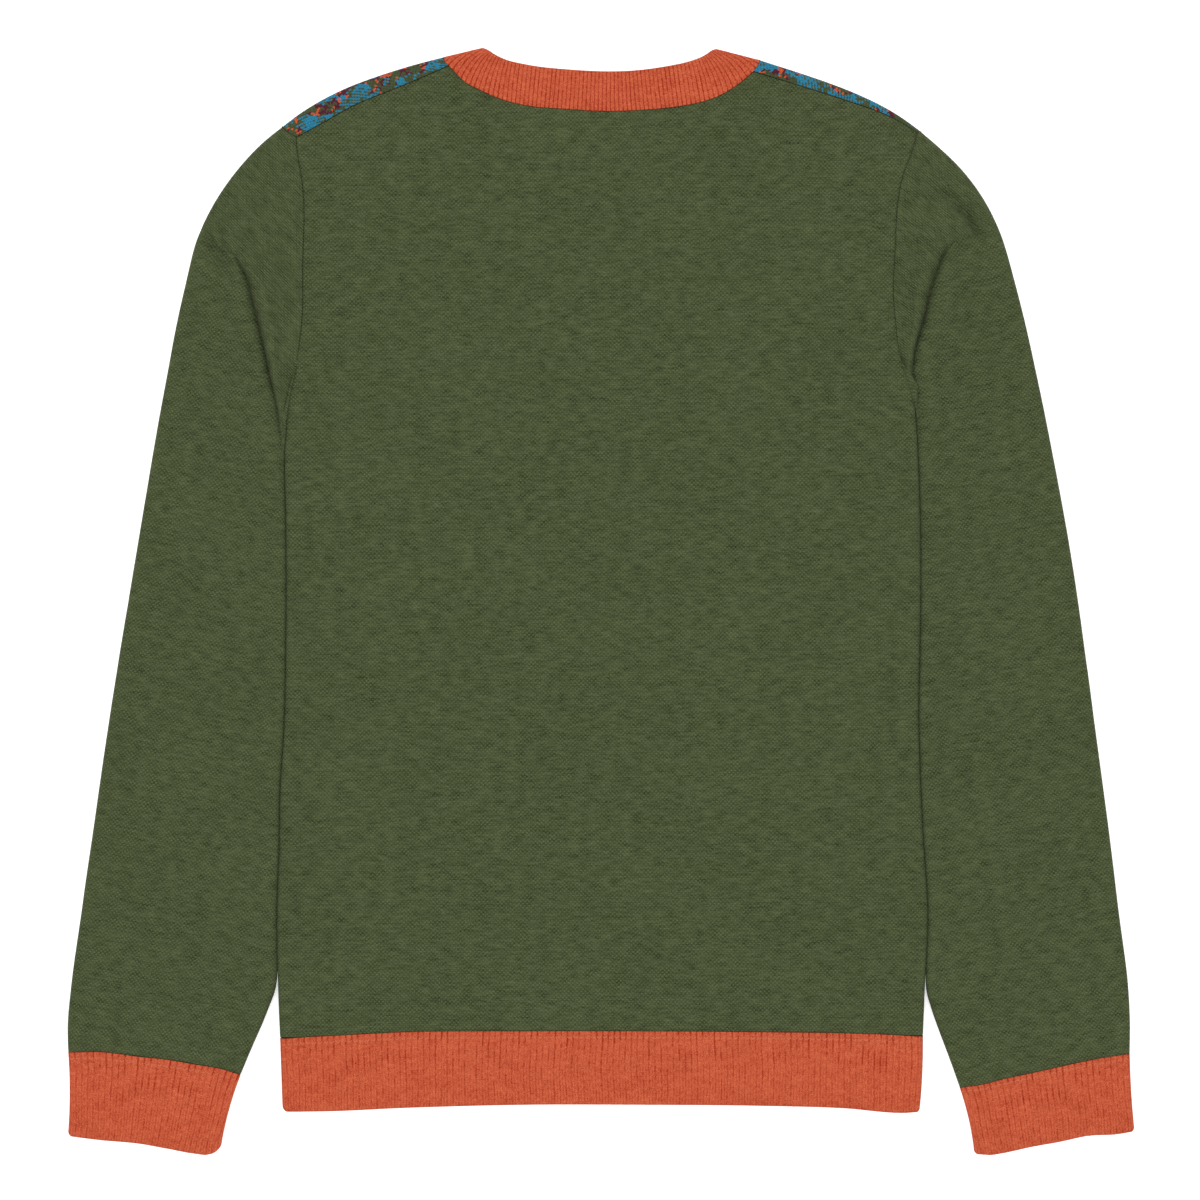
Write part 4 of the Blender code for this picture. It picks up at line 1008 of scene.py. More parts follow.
def armhole_ring(side, back, front, under_at):
    """The sleeve's first ring, along the armhole seam and over the shoulder fold."""
    shared = LAYOUT[side]
    sign = SIDES[side]["sign"]
    arc = [shifted(c, -shared["tangent"] * SEAM_GAP / 2) for c in shared["stack"][:0:-1]]
    corner = shifted(shared["stack"][0], -(shared["tangent"] + shared["inward_back"][-1]) * SEAM_GAP / 4)
    near = len(NEAR)
    top = [corner] + [laid(p) for p in back[-2:near - 1:-1]]
    toward_body = np.array((-float(sign), 0.0))
    ends = []
    for i in (*range(near - 1, -1, -1), *range(1, near)):
        upper = len(ends) < near
        turn = seam_turn(NEAR[i]) if i else 0.0
        place = back[i] if upper else front[i]
        out = toward_body if i == 0 else shared["inward_back" if upper else "inward_front"][i]
        height = top_height(place) if upper else None
        reach = ROLL * math.cos(math.radians(turn))
        ends.append(on_roll(place, -out, turn if upper else -turn, ROLL, height, reach))
    return arc + top + ends + [under(p) for p in under_at]


def section_heights(side, places, section, folds):
    """Heights of a sleeve section's upper face. folds: how far the folded cloth lifts it at each place."""
    outer, _, inner, _, radius, edge = sleeve_ends(side, *section)
    found = []
    for fold, place in zip(folds, places):
        high = (2 * radius - LAID) * fade(np.linalg.norm(place - outer) - radius)
        rise = (2 * edge - LAID) * fade(np.linalg.norm(place - inner) - edge)
        found.append(LAID + (high**3 + fold**3 + rise**3) ** (1 / 3))
    return found


def blended_ring(side, now, before, after, f, heights):
    """A ring of cloth at a share of the way between two sections."""
    ends = sleeve_ends(side, *now)
    outer, outer_in, inner, inner_in, radius, edge = ends
    feet = [roll_feet(sleeve_ends(side, *section[1])) for section in (before, after)]
    move_a, move_b = (goal - (1 - f) * p - f * q for goal, p, q in zip(roll_feet(ends), *feet))

    def between(t, p, q):
        return (1 - f) * p + f * q + move_a * (1 - t) ** 2 + move_b * t**2

    (top_before, under_before), (top_after, under_after) = before[2], after[2]
    top = [(np.array((*between(t, p, q), z)), UP)
           for t, p, q, z in zip(SLEEVE_TOP, top_before, top_after, heights)]
    below = [under(between(*row)) for row in zip(SLEEVE_UNDER, under_before, under_after)]
    arc = [on_roll(outer, outer_in, angle, radius) for angle in ARC[::-1]]
    end = [on_roll(inner, inner_in, angle, edge) for angle in ARC]
    return arc + top + end + below


def mirrored(place, at, way):
    """A plan place mirrored in the line through a point across a direction."""
    return place - 2 * np.dot(place - at, way) * way


def sleeve_grain(side, rings, ends):
    """Plan places that a sleeve's stitches follow, as if unrolled: for its upper cloth, then the under."""
    arc = len(ARC)
    tops, belows = [], []
    for ring, (outer, outer_in, inner, inner_in, radius, edge) in zip(rings, ends):
        spread = (math.pi - 2) * radius
        for j, (place, _) in enumerate(ring):
            plan = place[:2]
            below = mirrored(plan, outer, outer_in) - outer_in * spread
            if j < arc:
                turn = math.radians(90 - ARC[::-1][j])
                plan = outer + outer_in * radius - outer_in * radius * turn
                below = plan
            elif arc + ARMHOLE_STEPS <= j < 2 * arc + ARMHOLE_STEPS:
                angle = ARC[j - arc - ARMHOLE_STEPS]
                foot = inner + inner_in * edge
                plan = foot - inner_in * edge * math.radians(90 - angle)
                below = foot - inner_in * edge * math.radians(90 + angle)
                below = mirrored(below, outer, outer_in) - outer_in * spread
            tops.append(plan)
            belows.append(below)
    grains = []
    upper, lower, pivot = SIDES[side]["grain"]
    for angle in (upper, lower):
        c, s = math.cos(math.radians(-angle)), math.sin(math.radians(-angle))
        turn = np.array(((c, -s), (s, c)))
        for places in (tops, belows):
            grains.append([turn @ (p - np.array(pivot)) for p in places])
    return grains


def build_sleeve(side, material):
    rings, ends, foot = sleeve_rings(side)
    columns = len(rings[0])
    quads = grid_quads(len(rings), columns, True)
    grains = sleeve_grain(side, rings, ends)
    seam = len(ARC) + ARMHOLE_STEPS + len(ARC) // 2
    uses = []
    for i in range(len(rings) - 1):
        for j in range(columns):
            uses.append((0 if i < foot else 2) + (0 if j < seam else 1))
    made = knit_shell(f"sleeve_{side}_knit", sum(rings, []), quads, grains, uses, material,
                      soft_creases(SLEEVE_CREASES[side]), True, (0, 1))
    return made, rings[0], rings[-1]


def band_rows(height):
    """Distances from the seam of a band's rows on its outer face."""
    steps = max(int(height / 3.2), 6)
    return [0.0, 0.5, 1.4] + [1.4 + (height - 1.4 - WALL / 2) * k / steps for k in range(1, steps + 1)]


def rib_blank(name, sections, pitch, corners=(), leans=(), even=0.0):
    """A band before its ribs are raised: a closed tube of wall, with the count of ribs run along it.

    sections: (cloth at the seam, cloth at the free edge) round the band. corners: (place, inward direction,
    radius, bow of that side). leans: (place, ribs of lean across the band, reach). even: how
    unbroken the grooves look. Returns the object and its columns.
    """
    ring = [np.concatenate((a[0], unit(a[1]), b[0], unit(b[1]))) for a, b in sections]
    ring = np.array(ring + [ring[0]])
    middle = (ring[:, 0:3] + ring[:, 6:9]) / 2
    run = run_along(middle)
    ribs = int(round(run[-1] / pitch))
    count = ribs * BAND_COLUMNS
    at = np.linspace(0, run[-1], count, endpoint=False)
    fine = np.array([np.interp(at, run, ring[:, k]) for k in range(12)]).T
    seam, seam_out, free, free_out = fine[:, 0:3], fine[:, 3:6], fine[:, 6:9], fine[:, 9:12]
    height = float(np.linalg.norm(free - seam, axis=1).mean())
    lean = np.zeros(count)
    for place, ribs_over, reach in leans:
        k = int(np.argmin(np.linalg.norm(seam[:, :2] - place, axis=1)))
        away = np.abs(at - at[k])
        away = np.minimum(away, run[-1] - away)
        lean += ribs_over * np.exp(-((away / reach) ** 2))
    bowed = np.zeros((count, 3))
    for place, inward, radius, bow in corners:
        gap = (free[:, :2] - place) @ inward
        back = radius - np.clip(gap, 0, radius)
        up = seam - free
        up /= np.linalg.norm(up, axis=1)[:, None]
        free = free + up * (radius - np.sqrt(radius**2 - back**2))[:, None]
        bowed[:, :2] += inward * bow * np.exp(-((np.maximum(gap, 0) / BOW_REACH) ** 2))[:, None]
    rows = band_rows(height)
    # Rows: share down the band, depth into the wall, turn of the outward direction, distance below the seam
    profile = []
    for d in rows:
        profile.append((d / height, 0.0 if d else BAND_DIP, 0.0, d))
    bend = WALL / 2
    for angle in BAND_TURN:
        a = math.radians(angle)
        share = (height - bend + bend * math.sin(a)) / height
        profile.append((share, bend - bend * math.cos(a), angle, height))
    for share in (1 - bend / height, 0.5, 0.0):
        profile.append((share, WALL, 180.0, height * share))
    points, outward, mask, phase = [], [], [], []
    for share, depth, angle, d in profile:
        place = seam + (free - seam) * share + bowed * (4 * share * (1 - min(share, 1.0)))
        out = seam_out + (free_out - seam_out) * min(share, 1.0)
        out /= np.linalg.norm(out, axis=1)[:, None]
        way = free - seam
        way -= (way * out).sum(1)[:, None] * out
        way /= np.linalg.norm(way, axis=1)[:, None]
        a = math.radians(angle)
        points.append(place - out * depth)
        outward.append(out * math.cos(a) + way * math.sin(a))
        low = RIB_LEAST + (1 - RIB_LEAST) * change(height - d, *RIB_ENDS)
        mask.append(np.full(count, low if angle < 180 else 0.0))
        phase.append(np.arange(count) / BAND_COLUMNS + lean * share)
    levels = len(profile)
    faces = []
    for i in range(levels):
        k = (i + 1) % levels
        for j in range(count):
            m = (j + 1) % count
            faces.append((i * count + j, i * count + m, k * count + m, k * count + j))
    points, outward = np.vstack(points), np.vstack(outward)
    a, b, _, d = faces[0]
    if np.dot(np.cross(points[b] - points[a], points[d] - points[a]), outward[0]) < 0:
        faces = [f[::-1] for f in faces]
    mesh = bpy.data.meshes.new(name)
    mesh.from_pydata((points * MM).tolist(), [], faces)
    corner_points = np.array([k for f in faces for k in f])
    column, row = corner_points % count, corner_points // count
    first = column.reshape(-1, 4)
    wraps = (first.max(1) - first.min(1) > 1)[:, None] & (first == 0)
    ribs_at = np.concatenate(phase)[corner_points] + wraps.ravel() * ribs
    drop = np.array([d for *_, d in profile])
    flat = np.stack((ribs_at * pitch, drop[row]), 1) * MM
    mesh.uv_layers.new(name="grain").data.foreach_set("uv", flat.astype(np.float32).ravel())
    put_attribute(mesh, "outward", outward)
    put_attribute(mesh, "raise", np.concatenate(mask))
    put_attribute(mesh, "ribs", np.concatenate(phase))
    put_attribute(mesh, "below_seam", np.repeat(drop, count) * MM)
    # even: how unbroken the material's painted shade in the grooves is.
    put_attribute(mesh, "even", np.full(len(points), even))
    return put_object(name, mesh), (seam, seam_out, free, free_out, height)


def put_attribute(mesh, name, values, domain="POINT"):
    values = np.asarray(values, np.float32)
    kind, field = ("FLOAT_VECTOR", "vector") if values.ndim == 2 else ("FLOAT", "value")
    mesh.attributes.new(name, kind, domain).data.foreach_set(field, values.ravel())


def put_object(name, data):
    made = bpy.data.objects.new(name, data)
    bpy.context.scene.collection.objects.link(made)
    return made


class Term:
    """An output of a node. Sums, products and comparisons of terms make maths nodes in the same tree."""

    def __init__(self, socket):
        self.socket = socket
        self.tree = socket.id_data
        self.kind = "ShaderNodeMath" if socket.type == "VALUE" else "ShaderNodeVectorMath"

    def maths(self, operation, *others):
        return wire(self.tree, self.kind, dict(enumerate((self, *others))), operation=operation)

    def __add__(self, other):
        return self.maths("ADD", other)

    def __sub__(self, other):
        return self.maths("SUBTRACT", other)

    def __rsub__(self, other):
        return wire(self.tree, self.kind, {0: other, 1: self}, operation="SUBTRACT")

    def __mul__(self, other):
        return self.maths("MULTIPLY", other)

    def __pow__(self, other):
        return self.maths("POWER", other)

    def __gt__(self, other):
        return self.maths("GREATER_THAN", other)

    def __lt__(self, other):
        return self.maths("LESS_THAN", other)


def wire(tree, kind, sockets=None, out=0, **settings):
    """A node with its settings, values and links. Returns one of its outputs."""
    made = tree.nodes.new(kind)
    for key, value in settings.items():
        setattr(made, key, value)
    for key, value in (sockets or {}).items():
        if isinstance(value, Term):
            tree.links.new(value.socket, made.inputs[key])
        else:
            made.inputs[key].default_value = value
    return Term(made.outputs[out])


def scaled(vector, size):
    return wire(vector.tree, "ShaderNodeVectorMath", {0: vector, 3: size}, operation="SCALE")


def wave(value, period):
    return (value * (2 * math.pi / period)).maths("COSINE")


def noise(vector, detail=2.0, roughness=0.5, scale=1.0, out=0):
    return wire(vector.tree, "ShaderNodeTexNoise",
                {"Vector": vector, "Scale": scale, "Detail": detail, "Roughness": roughness}, out)


def open_tree(name, *sizes):
    """A geometry tree, and its inputs: the geometry, the named sizes and the yarn."""
    tree = bpy.data.node_groups.new(name, "GeometryNodeTree")
    tree.interface.new_socket("Geometry", in_out="OUTPUT", socket_type="NodeSocketGeometry")
    kinds = {"Geometry": "Geometry", **{label: "Float" for label in sizes}, "Yarn": "Material"}
    for label, kind in kinds.items():
        tree.interface.new_socket(label, in_out="INPUT", socket_type=f"NodeSocket{kind}")
    given = tree.nodes.new("NodeGroupInput")
    return tree, {label: Term(given.outputs[label]) for label in kinds}


def close_tree(tree, geometry, yarn):
    real = wire(tree, "GeometryNodeRealizeInstances", {"Geometry": geometry})
    painted = wire(tree, "GeometryNodeSetMaterial", {"Geometry": real, "Material": yarn})
    tree.links.new(painted.socket, tree.nodes.new("NodeGroupOutput").inputs[0])
    return tree


def named(tree, label, kind="FLOAT"):
    return wire(tree, "GeometryNodeInputNamedAttribute", {"Name": label}, data_type=kind)


def swept(tree, line, radius, sides):
    """A round yarn along a line."""
    size = {"Resolution": sides, "Radius": radius}
    ring = wire(tree, "GeometryNodeCurvePrimitiveCircle", size, mode="RADIUS")
    return wire(tree, "GeometryNodeCurveToMesh", {"Curve": line, "Profile Curve": ring, "Fill Caps": True})


def run_tree(made, tree, material, spent=(), **sizes):
    """Runs a geometry tree on an object and keeps the result as a plain mesh, without spent attributes."""
    modifier = made.modifiers.new(tree.name, "NODES")
    modifier.node_group = tree
    values = {label.replace("_", " ").capitalize(): size for label, size in sizes.items()}
    values["Yarn"] = material
    for item in tree.interface.items_tree:
        if item.in_out == "INPUT" and item.name in values:
            modifier[item.identifier] = values[item.name]
    made.data = applied(made)
    made.modifiers.clear()
    for label in spent:
        if label in made.data.attributes:
            made.data.attributes.remove(made.data.attributes[label])
    return finish_mesh(made, material)


def rib_tree():
    """Raises ribs on a blank: a narrow groove between broad ribs, which wander a little along the band."""
    tree, given = open_tree("raise_ribs", "Depth", "Wander", "Seed")
    where = wire(tree, "GeometryNodeInputPosition") + wire(tree, "ShaderNodeCombineXYZ", {2: given["Seed"]})
    wander = noise(where * (9.0, 26.0, 9.0), 1.0) - 0.5
    phase = named(tree, "ribs") + wander * given["Wander"]
    groove = (wave(phase, 1.0) * 0.5 + 0.5) ** 4.0
    uneven = noise(where * (70.0, 110.0, 70.0)) * 2.2 + -0.1
    deep = groove * uneven * given["Depth"] * named(tree, "raise")
    move = scaled(named(tree, "outward", "FLOAT_VECTOR"), deep * -1.0)
    moved = wire(tree, "GeometryNodeSetPosition", {"Geometry": given["Geometry"], "Offset": move})
    kept = wire(tree, "GeometryNodeStoreNamedAttribute",
                {"Geometry": moved, "Name": "rib_phase", "Value": phase}, data_type="FLOAT", domain="POINT")
    return close_tree(tree, kept, given["Yarn"])


def raise_ribs(blank, tree, material, wander, seed):
    return run_tree(blank, tree, material, ("outward", "raise", "ribs"),
                    depth=RIB_DEPTH * MM, wander=wander, seed=seed)


def build_cuff(side, ring, tree, material):
    """ring: the sleeve's last ring, along the cuff seam."""
    rows = SIDES[side]
    free = dense(rows["cuff_free"])
    outer, inner = free[0], free[-1]
    across = unit(inner - outer)
    a = outer + across * CUFF_ROLL
    b = inner - across * CUFF_TUCK
    curve = smooth((a, *rows["cuff_free"][1:-1], b))
    ends = [on_roll(outer, across, angle, CUFF_ROLL) for angle in ARC[::-1]]
    for t in SLEEVE_TOP:
        place = curve(t)
        high = (2 * CUFF_ROLL - LAID) * fade(np.linalg.norm(place - a))
        ends.append((np.array((*place, LAID + high)), UP))
    ends += [on_roll(inner, -across, angle, CUFF_TUCK) for angle in ARC]
    ends += [under(curve(t)) for t in SLEEVE_UNDER]
    sections = [(shifted(seam, (0.0, -SEAM_GAP)), end) for seam, end in zip(ring, ends)]
    corners = [(outer, across, *rows["cuff_corners"][0]), (inner, -across, *rows["cuff_corners"][1])]
    blank, columns = rib_blank(f"cuff_{side}_rib", sections, RIB_PITCH, corners)
    return raise_ribs(blank, tree, material, 0.9, 1.0 + rows["sign"]), columns


def build_hem(tree, material):
    seam, free = dense(HEM_SEAM), dense(HEM_FREE)
    down = np.array((0.0, -SEAM_GAP / 2))
    right = np.array((1.0, 0.0))
    left_seam, right_seam = seam[0] + down, seam[-1] + down

    def rolled(seam_end, free_end, inward):
        return [[on_roll(seam_end, inward, a, ROLL), on_roll(free_end, inward, a, LOW_ROLL)] for a in ARC]

    sections = rolled(left_seam, free[0], right)[::-1]
    xs = np.linspace(left_seam[0] + ROLL, right_seam[0] - ROLL, 60)[1:-1]
    for x in xs:
        share = (x - xs[0]) / (xs[-1] - xs[0])
        low_x = free[0][0] + HEM_CORNER + share * (free[-1][0] - free[0][0] - 2 * HEM_CORNER)
        place = np.array((low_x, np.interp(low_x, free[:, 0], free[:, 1])))
        at_free = laid(np.array((low_x, place[1] + 40)))[0][2]
        at_free = LAID + (at_free - LAID) * (LOW_ROLL / ROLL) ** 2
        sections.append([laid(hem_seam_at(x) + down), (np.array((*place, at_free)), UP)])
    sections += rolled(right_seam, free[-1], -right)
    for x in np.linspace(HEM_UNDER, -HEM_UNDER, 20):
        place = np.array((x, np.interp(x, free[:, 0], free[:, 1])))
        sections.append([under(hem_seam_at(x) + down), under(place)])
    corners = ((free[0], right, 3.2, 0.0), (free[-1], -right, 1.9, -0.7))
    blank, columns = rib_blank("hem_rib", sections, RIB_PITCH, corners)
    return raise_ribs(blank, tree, material, 1.1, 5.0), columns


def build_neckband(tree, material):
    gap = SEAM_GAP / 2
    sections = []
    for seam, free in neck_back():
        at_free = np.array((*free, top_height(free) - 0.3))
        sections.append([laid(seam + toward(seam, free) * gap), (at_free, UP)])

    def folded(side):
        move = toward(FOLD[side][0], NECK_PEAK[side]) * gap
        inward = -shoulder_out(side, 0)
        return [[shifted(on_roll(FOLD[side][0], inward, a, ROLL), move), band_end(side, a)] for a in ARC]

    below = [[under(s + toward(s, f) * gap), under(f)] for s, f in neck_front()[1:-1]]
    half = len(below) // 2
    sections = below[:half][::-1] + folded("left")[::-1] + sections + folded("right") + below[half:][::-1]
    leans = [(FOLD[side][0], -4.2 * SIDES[side]["sign"], 46.0) for side in SIDES]
    blank, columns = rib_blank("neck_rib", sections, NECK_RIB_PITCH, (), leans, 1.0)
    return raise_ribs(blank, tree, material, 0.45, 9.0), columns


def loop_tree():
    """Sets a small yarn shape on every point of a line: a linking loop, or a short stitch across a seam."""
    tree, given = open_tree("set_stitches", "Width", "Height", "Yarn radius", "Bend")
    bend = {"Resolution": 7, "Radius": 0.5, "Start Angle": 0.0, "Sweep Angle": given["Bend"]}
    arc = wire(tree, "GeometryNodeCurveArc", bend, mode="RADIUS")
    size = wire(tree, "ShaderNodeCombineXYZ", {0: given["Width"], 1: given["Height"], 2: 1.0})
    sized = wire(tree, "GeometryNodeTransform", {"Geometry": arc, "Scale": size})
    yarn = swept(tree, sized, given["Yarn radius"], 5)
    axes = {"Primary Axis": named(tree, "outward", "FLOAT_VECTOR"),
            "Secondary Axis": named(tree, "along", "FLOAT_VECTOR")}
    turn = wire(tree, "FunctionNodeAxesToRotation", axes, primary_axis="Z", secondary_axis="X")
    points = wire(tree, "GeometryNodeMeshToPoints", {"Mesh": given["Geometry"]})
    stitch = {"Points": points, "Instance": yarn, "Rotation": turn}
    return close_tree(tree, wire(tree, "GeometryNodeInstanceOnPoints", stitch), given["Yarn"])


def set_stitches(name, rows, tree, material, width, height, thickness, bend):
    """rows: (place, direction along the row, outward direction) of each stitch."""
    places, alongs, outs = (np.array(column) for column in zip(*rows))
    mesh = bpy.data.meshes.new(name)
    mesh.from_pydata((places * MM).tolist(), [], [])
    put_attribute(mesh, "along", alongs)
    put_attribute(mesh, "outward", outs)
    made = run_tree(put_object(name, mesh), tree, material, ("along", "outward"), width=width * MM,
                    height=height * MM, yarn_radius=thickness * MM, bend=math.radians(bend))
    made.data.shade_smooth()
    return made


def cord_tree():
    """Lays a yarn along a line."""
    tree, given = open_tree("lay_cord", "Radius")
    line = wire(tree, "GeometryNodeMeshToCurve", {"Mesh": given["Geometry"]})
    return close_tree(tree, swept(tree, line, given["Radius"], 6), given["Yarn"])


def seam_cord(name, cloth, tree, material, closed=True):
    """The linked yarn inside a seam, along cloth: it shows between the edges of the two pieces."""
    edge_depth, top_depth = CORD_DEPTH
    points = []
    for place, out in cloth:
        out = unit(out)
        points.append((place - (edge_depth + top_depth * abs(out[2])) * out) * MM)
    count = len(points)
    edges = [(k, (k + 1) % count) for k in range(count if closed else count - 1)]
    mesh = bpy.data.meshes.new(name)
    mesh.from_pydata([tuple(p) for p in points], edges, [])
    return run_tree(put_object(name, mesh), tree, material, radius=CORD * MM)


def linking_rows(columns, below):
    """One loop for each rib of a band, at a distance below its seam, where the band faces up."""
    seam, seam_out, free, free_out, height = columns
    rows = []
    count = len(seam)
    for k in range(BAND_COLUMNS // 2, count, BAND_COLUMNS):
        share = below / height
        out = unit(seam_out[k] + (free_out[k] - seam_out[k]) * share)
        if out[2] < 0.6:
            continue
        place = seam[k] + (free[k] - seam[k]) * share
        along = unit(seam[(k + 1) % count] - seam[k - 1])
        rows.append((place, -along, out))
    return rows


def seam_rows(points, pitch, depth):
    """Short stitches across a seam of the upper cloth, with their outward directions."""
    total = length(points)
    count = int(total / pitch)
    rows = []
    for k in range(count):
        place, along = at_length(points, total * (k + 0.5) / count)
        spot, out = laid(place)
        rows.append((spot - out * depth, np.array((*turned(along), 0.0)), out))
    return rows


LIGHT = 1.45  # brightness that the lamps give a level white surface
MATT = 0.12  # reflection of wool and cotton yarn


def colour(r, g, b):
    """A cloth's colour in linear light, with the lamps' brightness taken out."""
    return (r / LIGHT, g / LIGHT, b / LIGHT, 1.0)


def surface(name, **inputs):
    """A material, its node tree and its surface shader with the given constants."""
    made = bpy.data.materials.new(name)
    made.use_nodes = True
    shader = made.node_tree.nodes["Principled BSDF"]
    labels = {"specular": "Specular IOR Level", "glow": "Emission Strength"}
    for key, value in inputs.items():
        shader.inputs[labels.get(key, key.replace("_", " ").title())].default_value = value
    return made, made.node_tree, shader


def cloth_surface(name, roughness, tint):
    """A knit's material, its shader, and its grain coordinates in millimetres."""
    made, tree, shader = surface(name, roughness=roughness, specular=MATT, sheen_weight=0.08,
                                 sheen_roughness=0.45, sheen_tint=(*tint, 1.0))
    return made, shader, wire(tree, "ShaderNodeUVMap", uv_map="grain") * (1000.0, 1000.0, 0.0)


def paint(shader, painted, height, strength, distance=0.0003):
    """Gives a shader its colour and the fine relief of its surface."""
    tree = painted.tree
    normal = wire(tree, "ShaderNodeBump", {"Strength": strength, "Distance": distance, "Height": height})
    tree.links.new(painted.socket, shader.inputs["Base Color"])
    tree.links.new(normal.socket, shader.inputs["Normal"])


def mixed(factor, a, b):
    return wire(factor.tree, "ShaderNodeMix", {0: factor, 6: a, 7: b}, 2, data_type="RGBA")


def clamped(value):
    return wire(value.tree, "ShaderNodeClamp", {0: value + 0.5})


def ramp(value, start, end, low, high):
    return wire(value.tree, "ShaderNodeMapRange", {0: value, 1: start, 2: end, 3: low, 4: high})


def split(vector):
    """The x and y of a vector."""
    made = vector.tree.nodes.new("ShaderNodeSeparateXYZ")
    vector.tree.links.new(vector.socket, made.inputs[0])
    return Term(made.outputs[0]), Term(made.outputs[1])


def stretched(vector, x, y):
    """Coordinates in which noise is drawn out to x by y millimetres."""
    return vector * (1 / x, 1 / y, 1.0)


def blotches(vector, x, y, detail=2.0, roughness=0.5):
    return noise(stretched(vector, x, y), detail, roughness)


def chance_of(cell):
    return wire(cell.tree, "ShaderNodeTexWhiteNoise", {"Vector": cell}, noise_dimensions="2D")


def weighted(*terms):
    """The sum of (value, weight, middle) terms: each value less its middle, times its weight."""
    total = None
    for value, weight, middle in terms:
        term = value * weight + -weight * middle
        total = term if total is None else total + term
    return total


def carried(tree, name):
    """A value that the mesh carries."""
    return wire(tree, "ShaderNodeAttribute", out=2, attribute_name=name)


def drifted(grain, reach):
    """Coordinates that waver by a share of a millimetre, as stitches do."""
    return grain + (noise(grain, 2.0, 0.6, 0.55, 1) - (0.5, 0.5, 0.5)) * (reach, reach, 0.0)


def heather(grain):
    """Melange streaks along the courses, from the size of a stitch to that of a hand."""
    return weighted(
        (blotches(grain, 0.8, 0.6, 2.0, 0.7), 1.62, 0.5),
        (blotches(grain, 6.8, 1.5, 2.0, 0.6), 0.8, 0.5),
        (blotches(grain, 10.0, 5.5, 1.0), 0.42, 0.5),
        (blotches(grain, 60.0, 45.0, 1.0), 0.14, 0.5),
    )


def birdseye(x, y):
    """Pits on alternate stitches."""
    return wave(x, 2 * STITCH) * wave(y, 2 * STITCH)


def olive_material():
    """Birdseye knit, whose pits turn to slanting lines where the cloth is pulled; its colour holds painted
    shade in them.
    """
    made, shader, grain = cloth_surface("olive_heather_knit", 0.95, (0.55, 0.62, 0.42))
    x, y = split(drifted(grain, 0.6))
    slant = carried(grain.tree, "slant")
    pits = birdseye(x, y) * (slant * -0.6 + 1.0)
    lines = wave(y, STITCH) * (slant * 0.5 + 0.25)
    relief = pits + (wave(x, STITCH) * 0.15 + lines)
    patchy = blotches(grain, 9.0, 6.0) * 0.55 + -0.05
    # The colour follows the relief: painted shade darkens the birdseye pits and the lines between wales and
    # courses, over the heather's real melange.
    value = clamped(relief * patchy + heather(grain))
    paint(shader, mixed(value, colour(0.012, 0.017, 0.003), colour(0.122, 0.153, 0.066)), relief, 0.4)
    return made


def terracotta_material():
    """Rib knit: two wales to a rib, with painted shade in the grooves, deeper in the gap between ribs than in
    the one within.
    """
    made, shader, grain = cloth_surface("terracotta_rib_knit", 0.92, (0.95, 0.55, 0.4))
    tree = grain.tree
    _, y = split(drifted(grain, 0.5))
    phase, down = carried(tree, "rib_phase"), carried(tree, "below_seam")
    between = (wave(phase, 1.0) * 0.5 + 0.5) ** 5.0
    within = (wave(phase, 0.5) * 0.5 + 0.5) ** 4.0
    courses = wave(wave(phase, 1.0).maths("ABSOLUTE") * 0.8 + y, STITCH)
    loose = 1.0 - carried(tree, "even")
    fading = ramp(down, 0.004, 0.034, 0.0, 1.0) * loose
    # Painted shade that deepens the grooves just below the seam.
    seam_shade = ramp(down, 0.0006, 0.0026, 0.3, 0.0)
    broken = blotches(grain, 6.0, 11.0, 2.0, 0.6) * (loose * 1.6 + 1.6) + (loose * -1.1 + -0.2)
    # Painted shade in the grooves: deepest in the gap between ribs, broken up along the band and weaker away
    # from the seam.
    dark = between * broken.maths("MAXIMUM", 0.0) * (fading * -0.6 + 1.0) + within * (fading * 0.2 + 0.06)
    # The colour is that painted shade over the real mottling, and a little lighter on the courses' raised
    # lines.
    value = weighted(
        (dark + between * seam_shade, -0.7, 0.09),
        (courses, 0.05, 0.0),
        (blotches(grain, 0.65, 0.85, 2.0, 0.7), 1.95, 0.5),
        (blotches(grain, 1.9, 2.4, 2.0, 0.6), 0.85, 0.5),
        (blotches(grain, 9.0, 6.0, 1.0), 0.38, 0.5),
        (blotches(grain, 34.0, 20.0, 1.0), 0.2, 0.5),
    )
    painted = mixed(clamped(value), colour(0.34, 0.020, 0.003), colour(0.795, 0.178, 0.079))
    paint(shader, painted, courses - within * 1.5, 0.3)
    return made


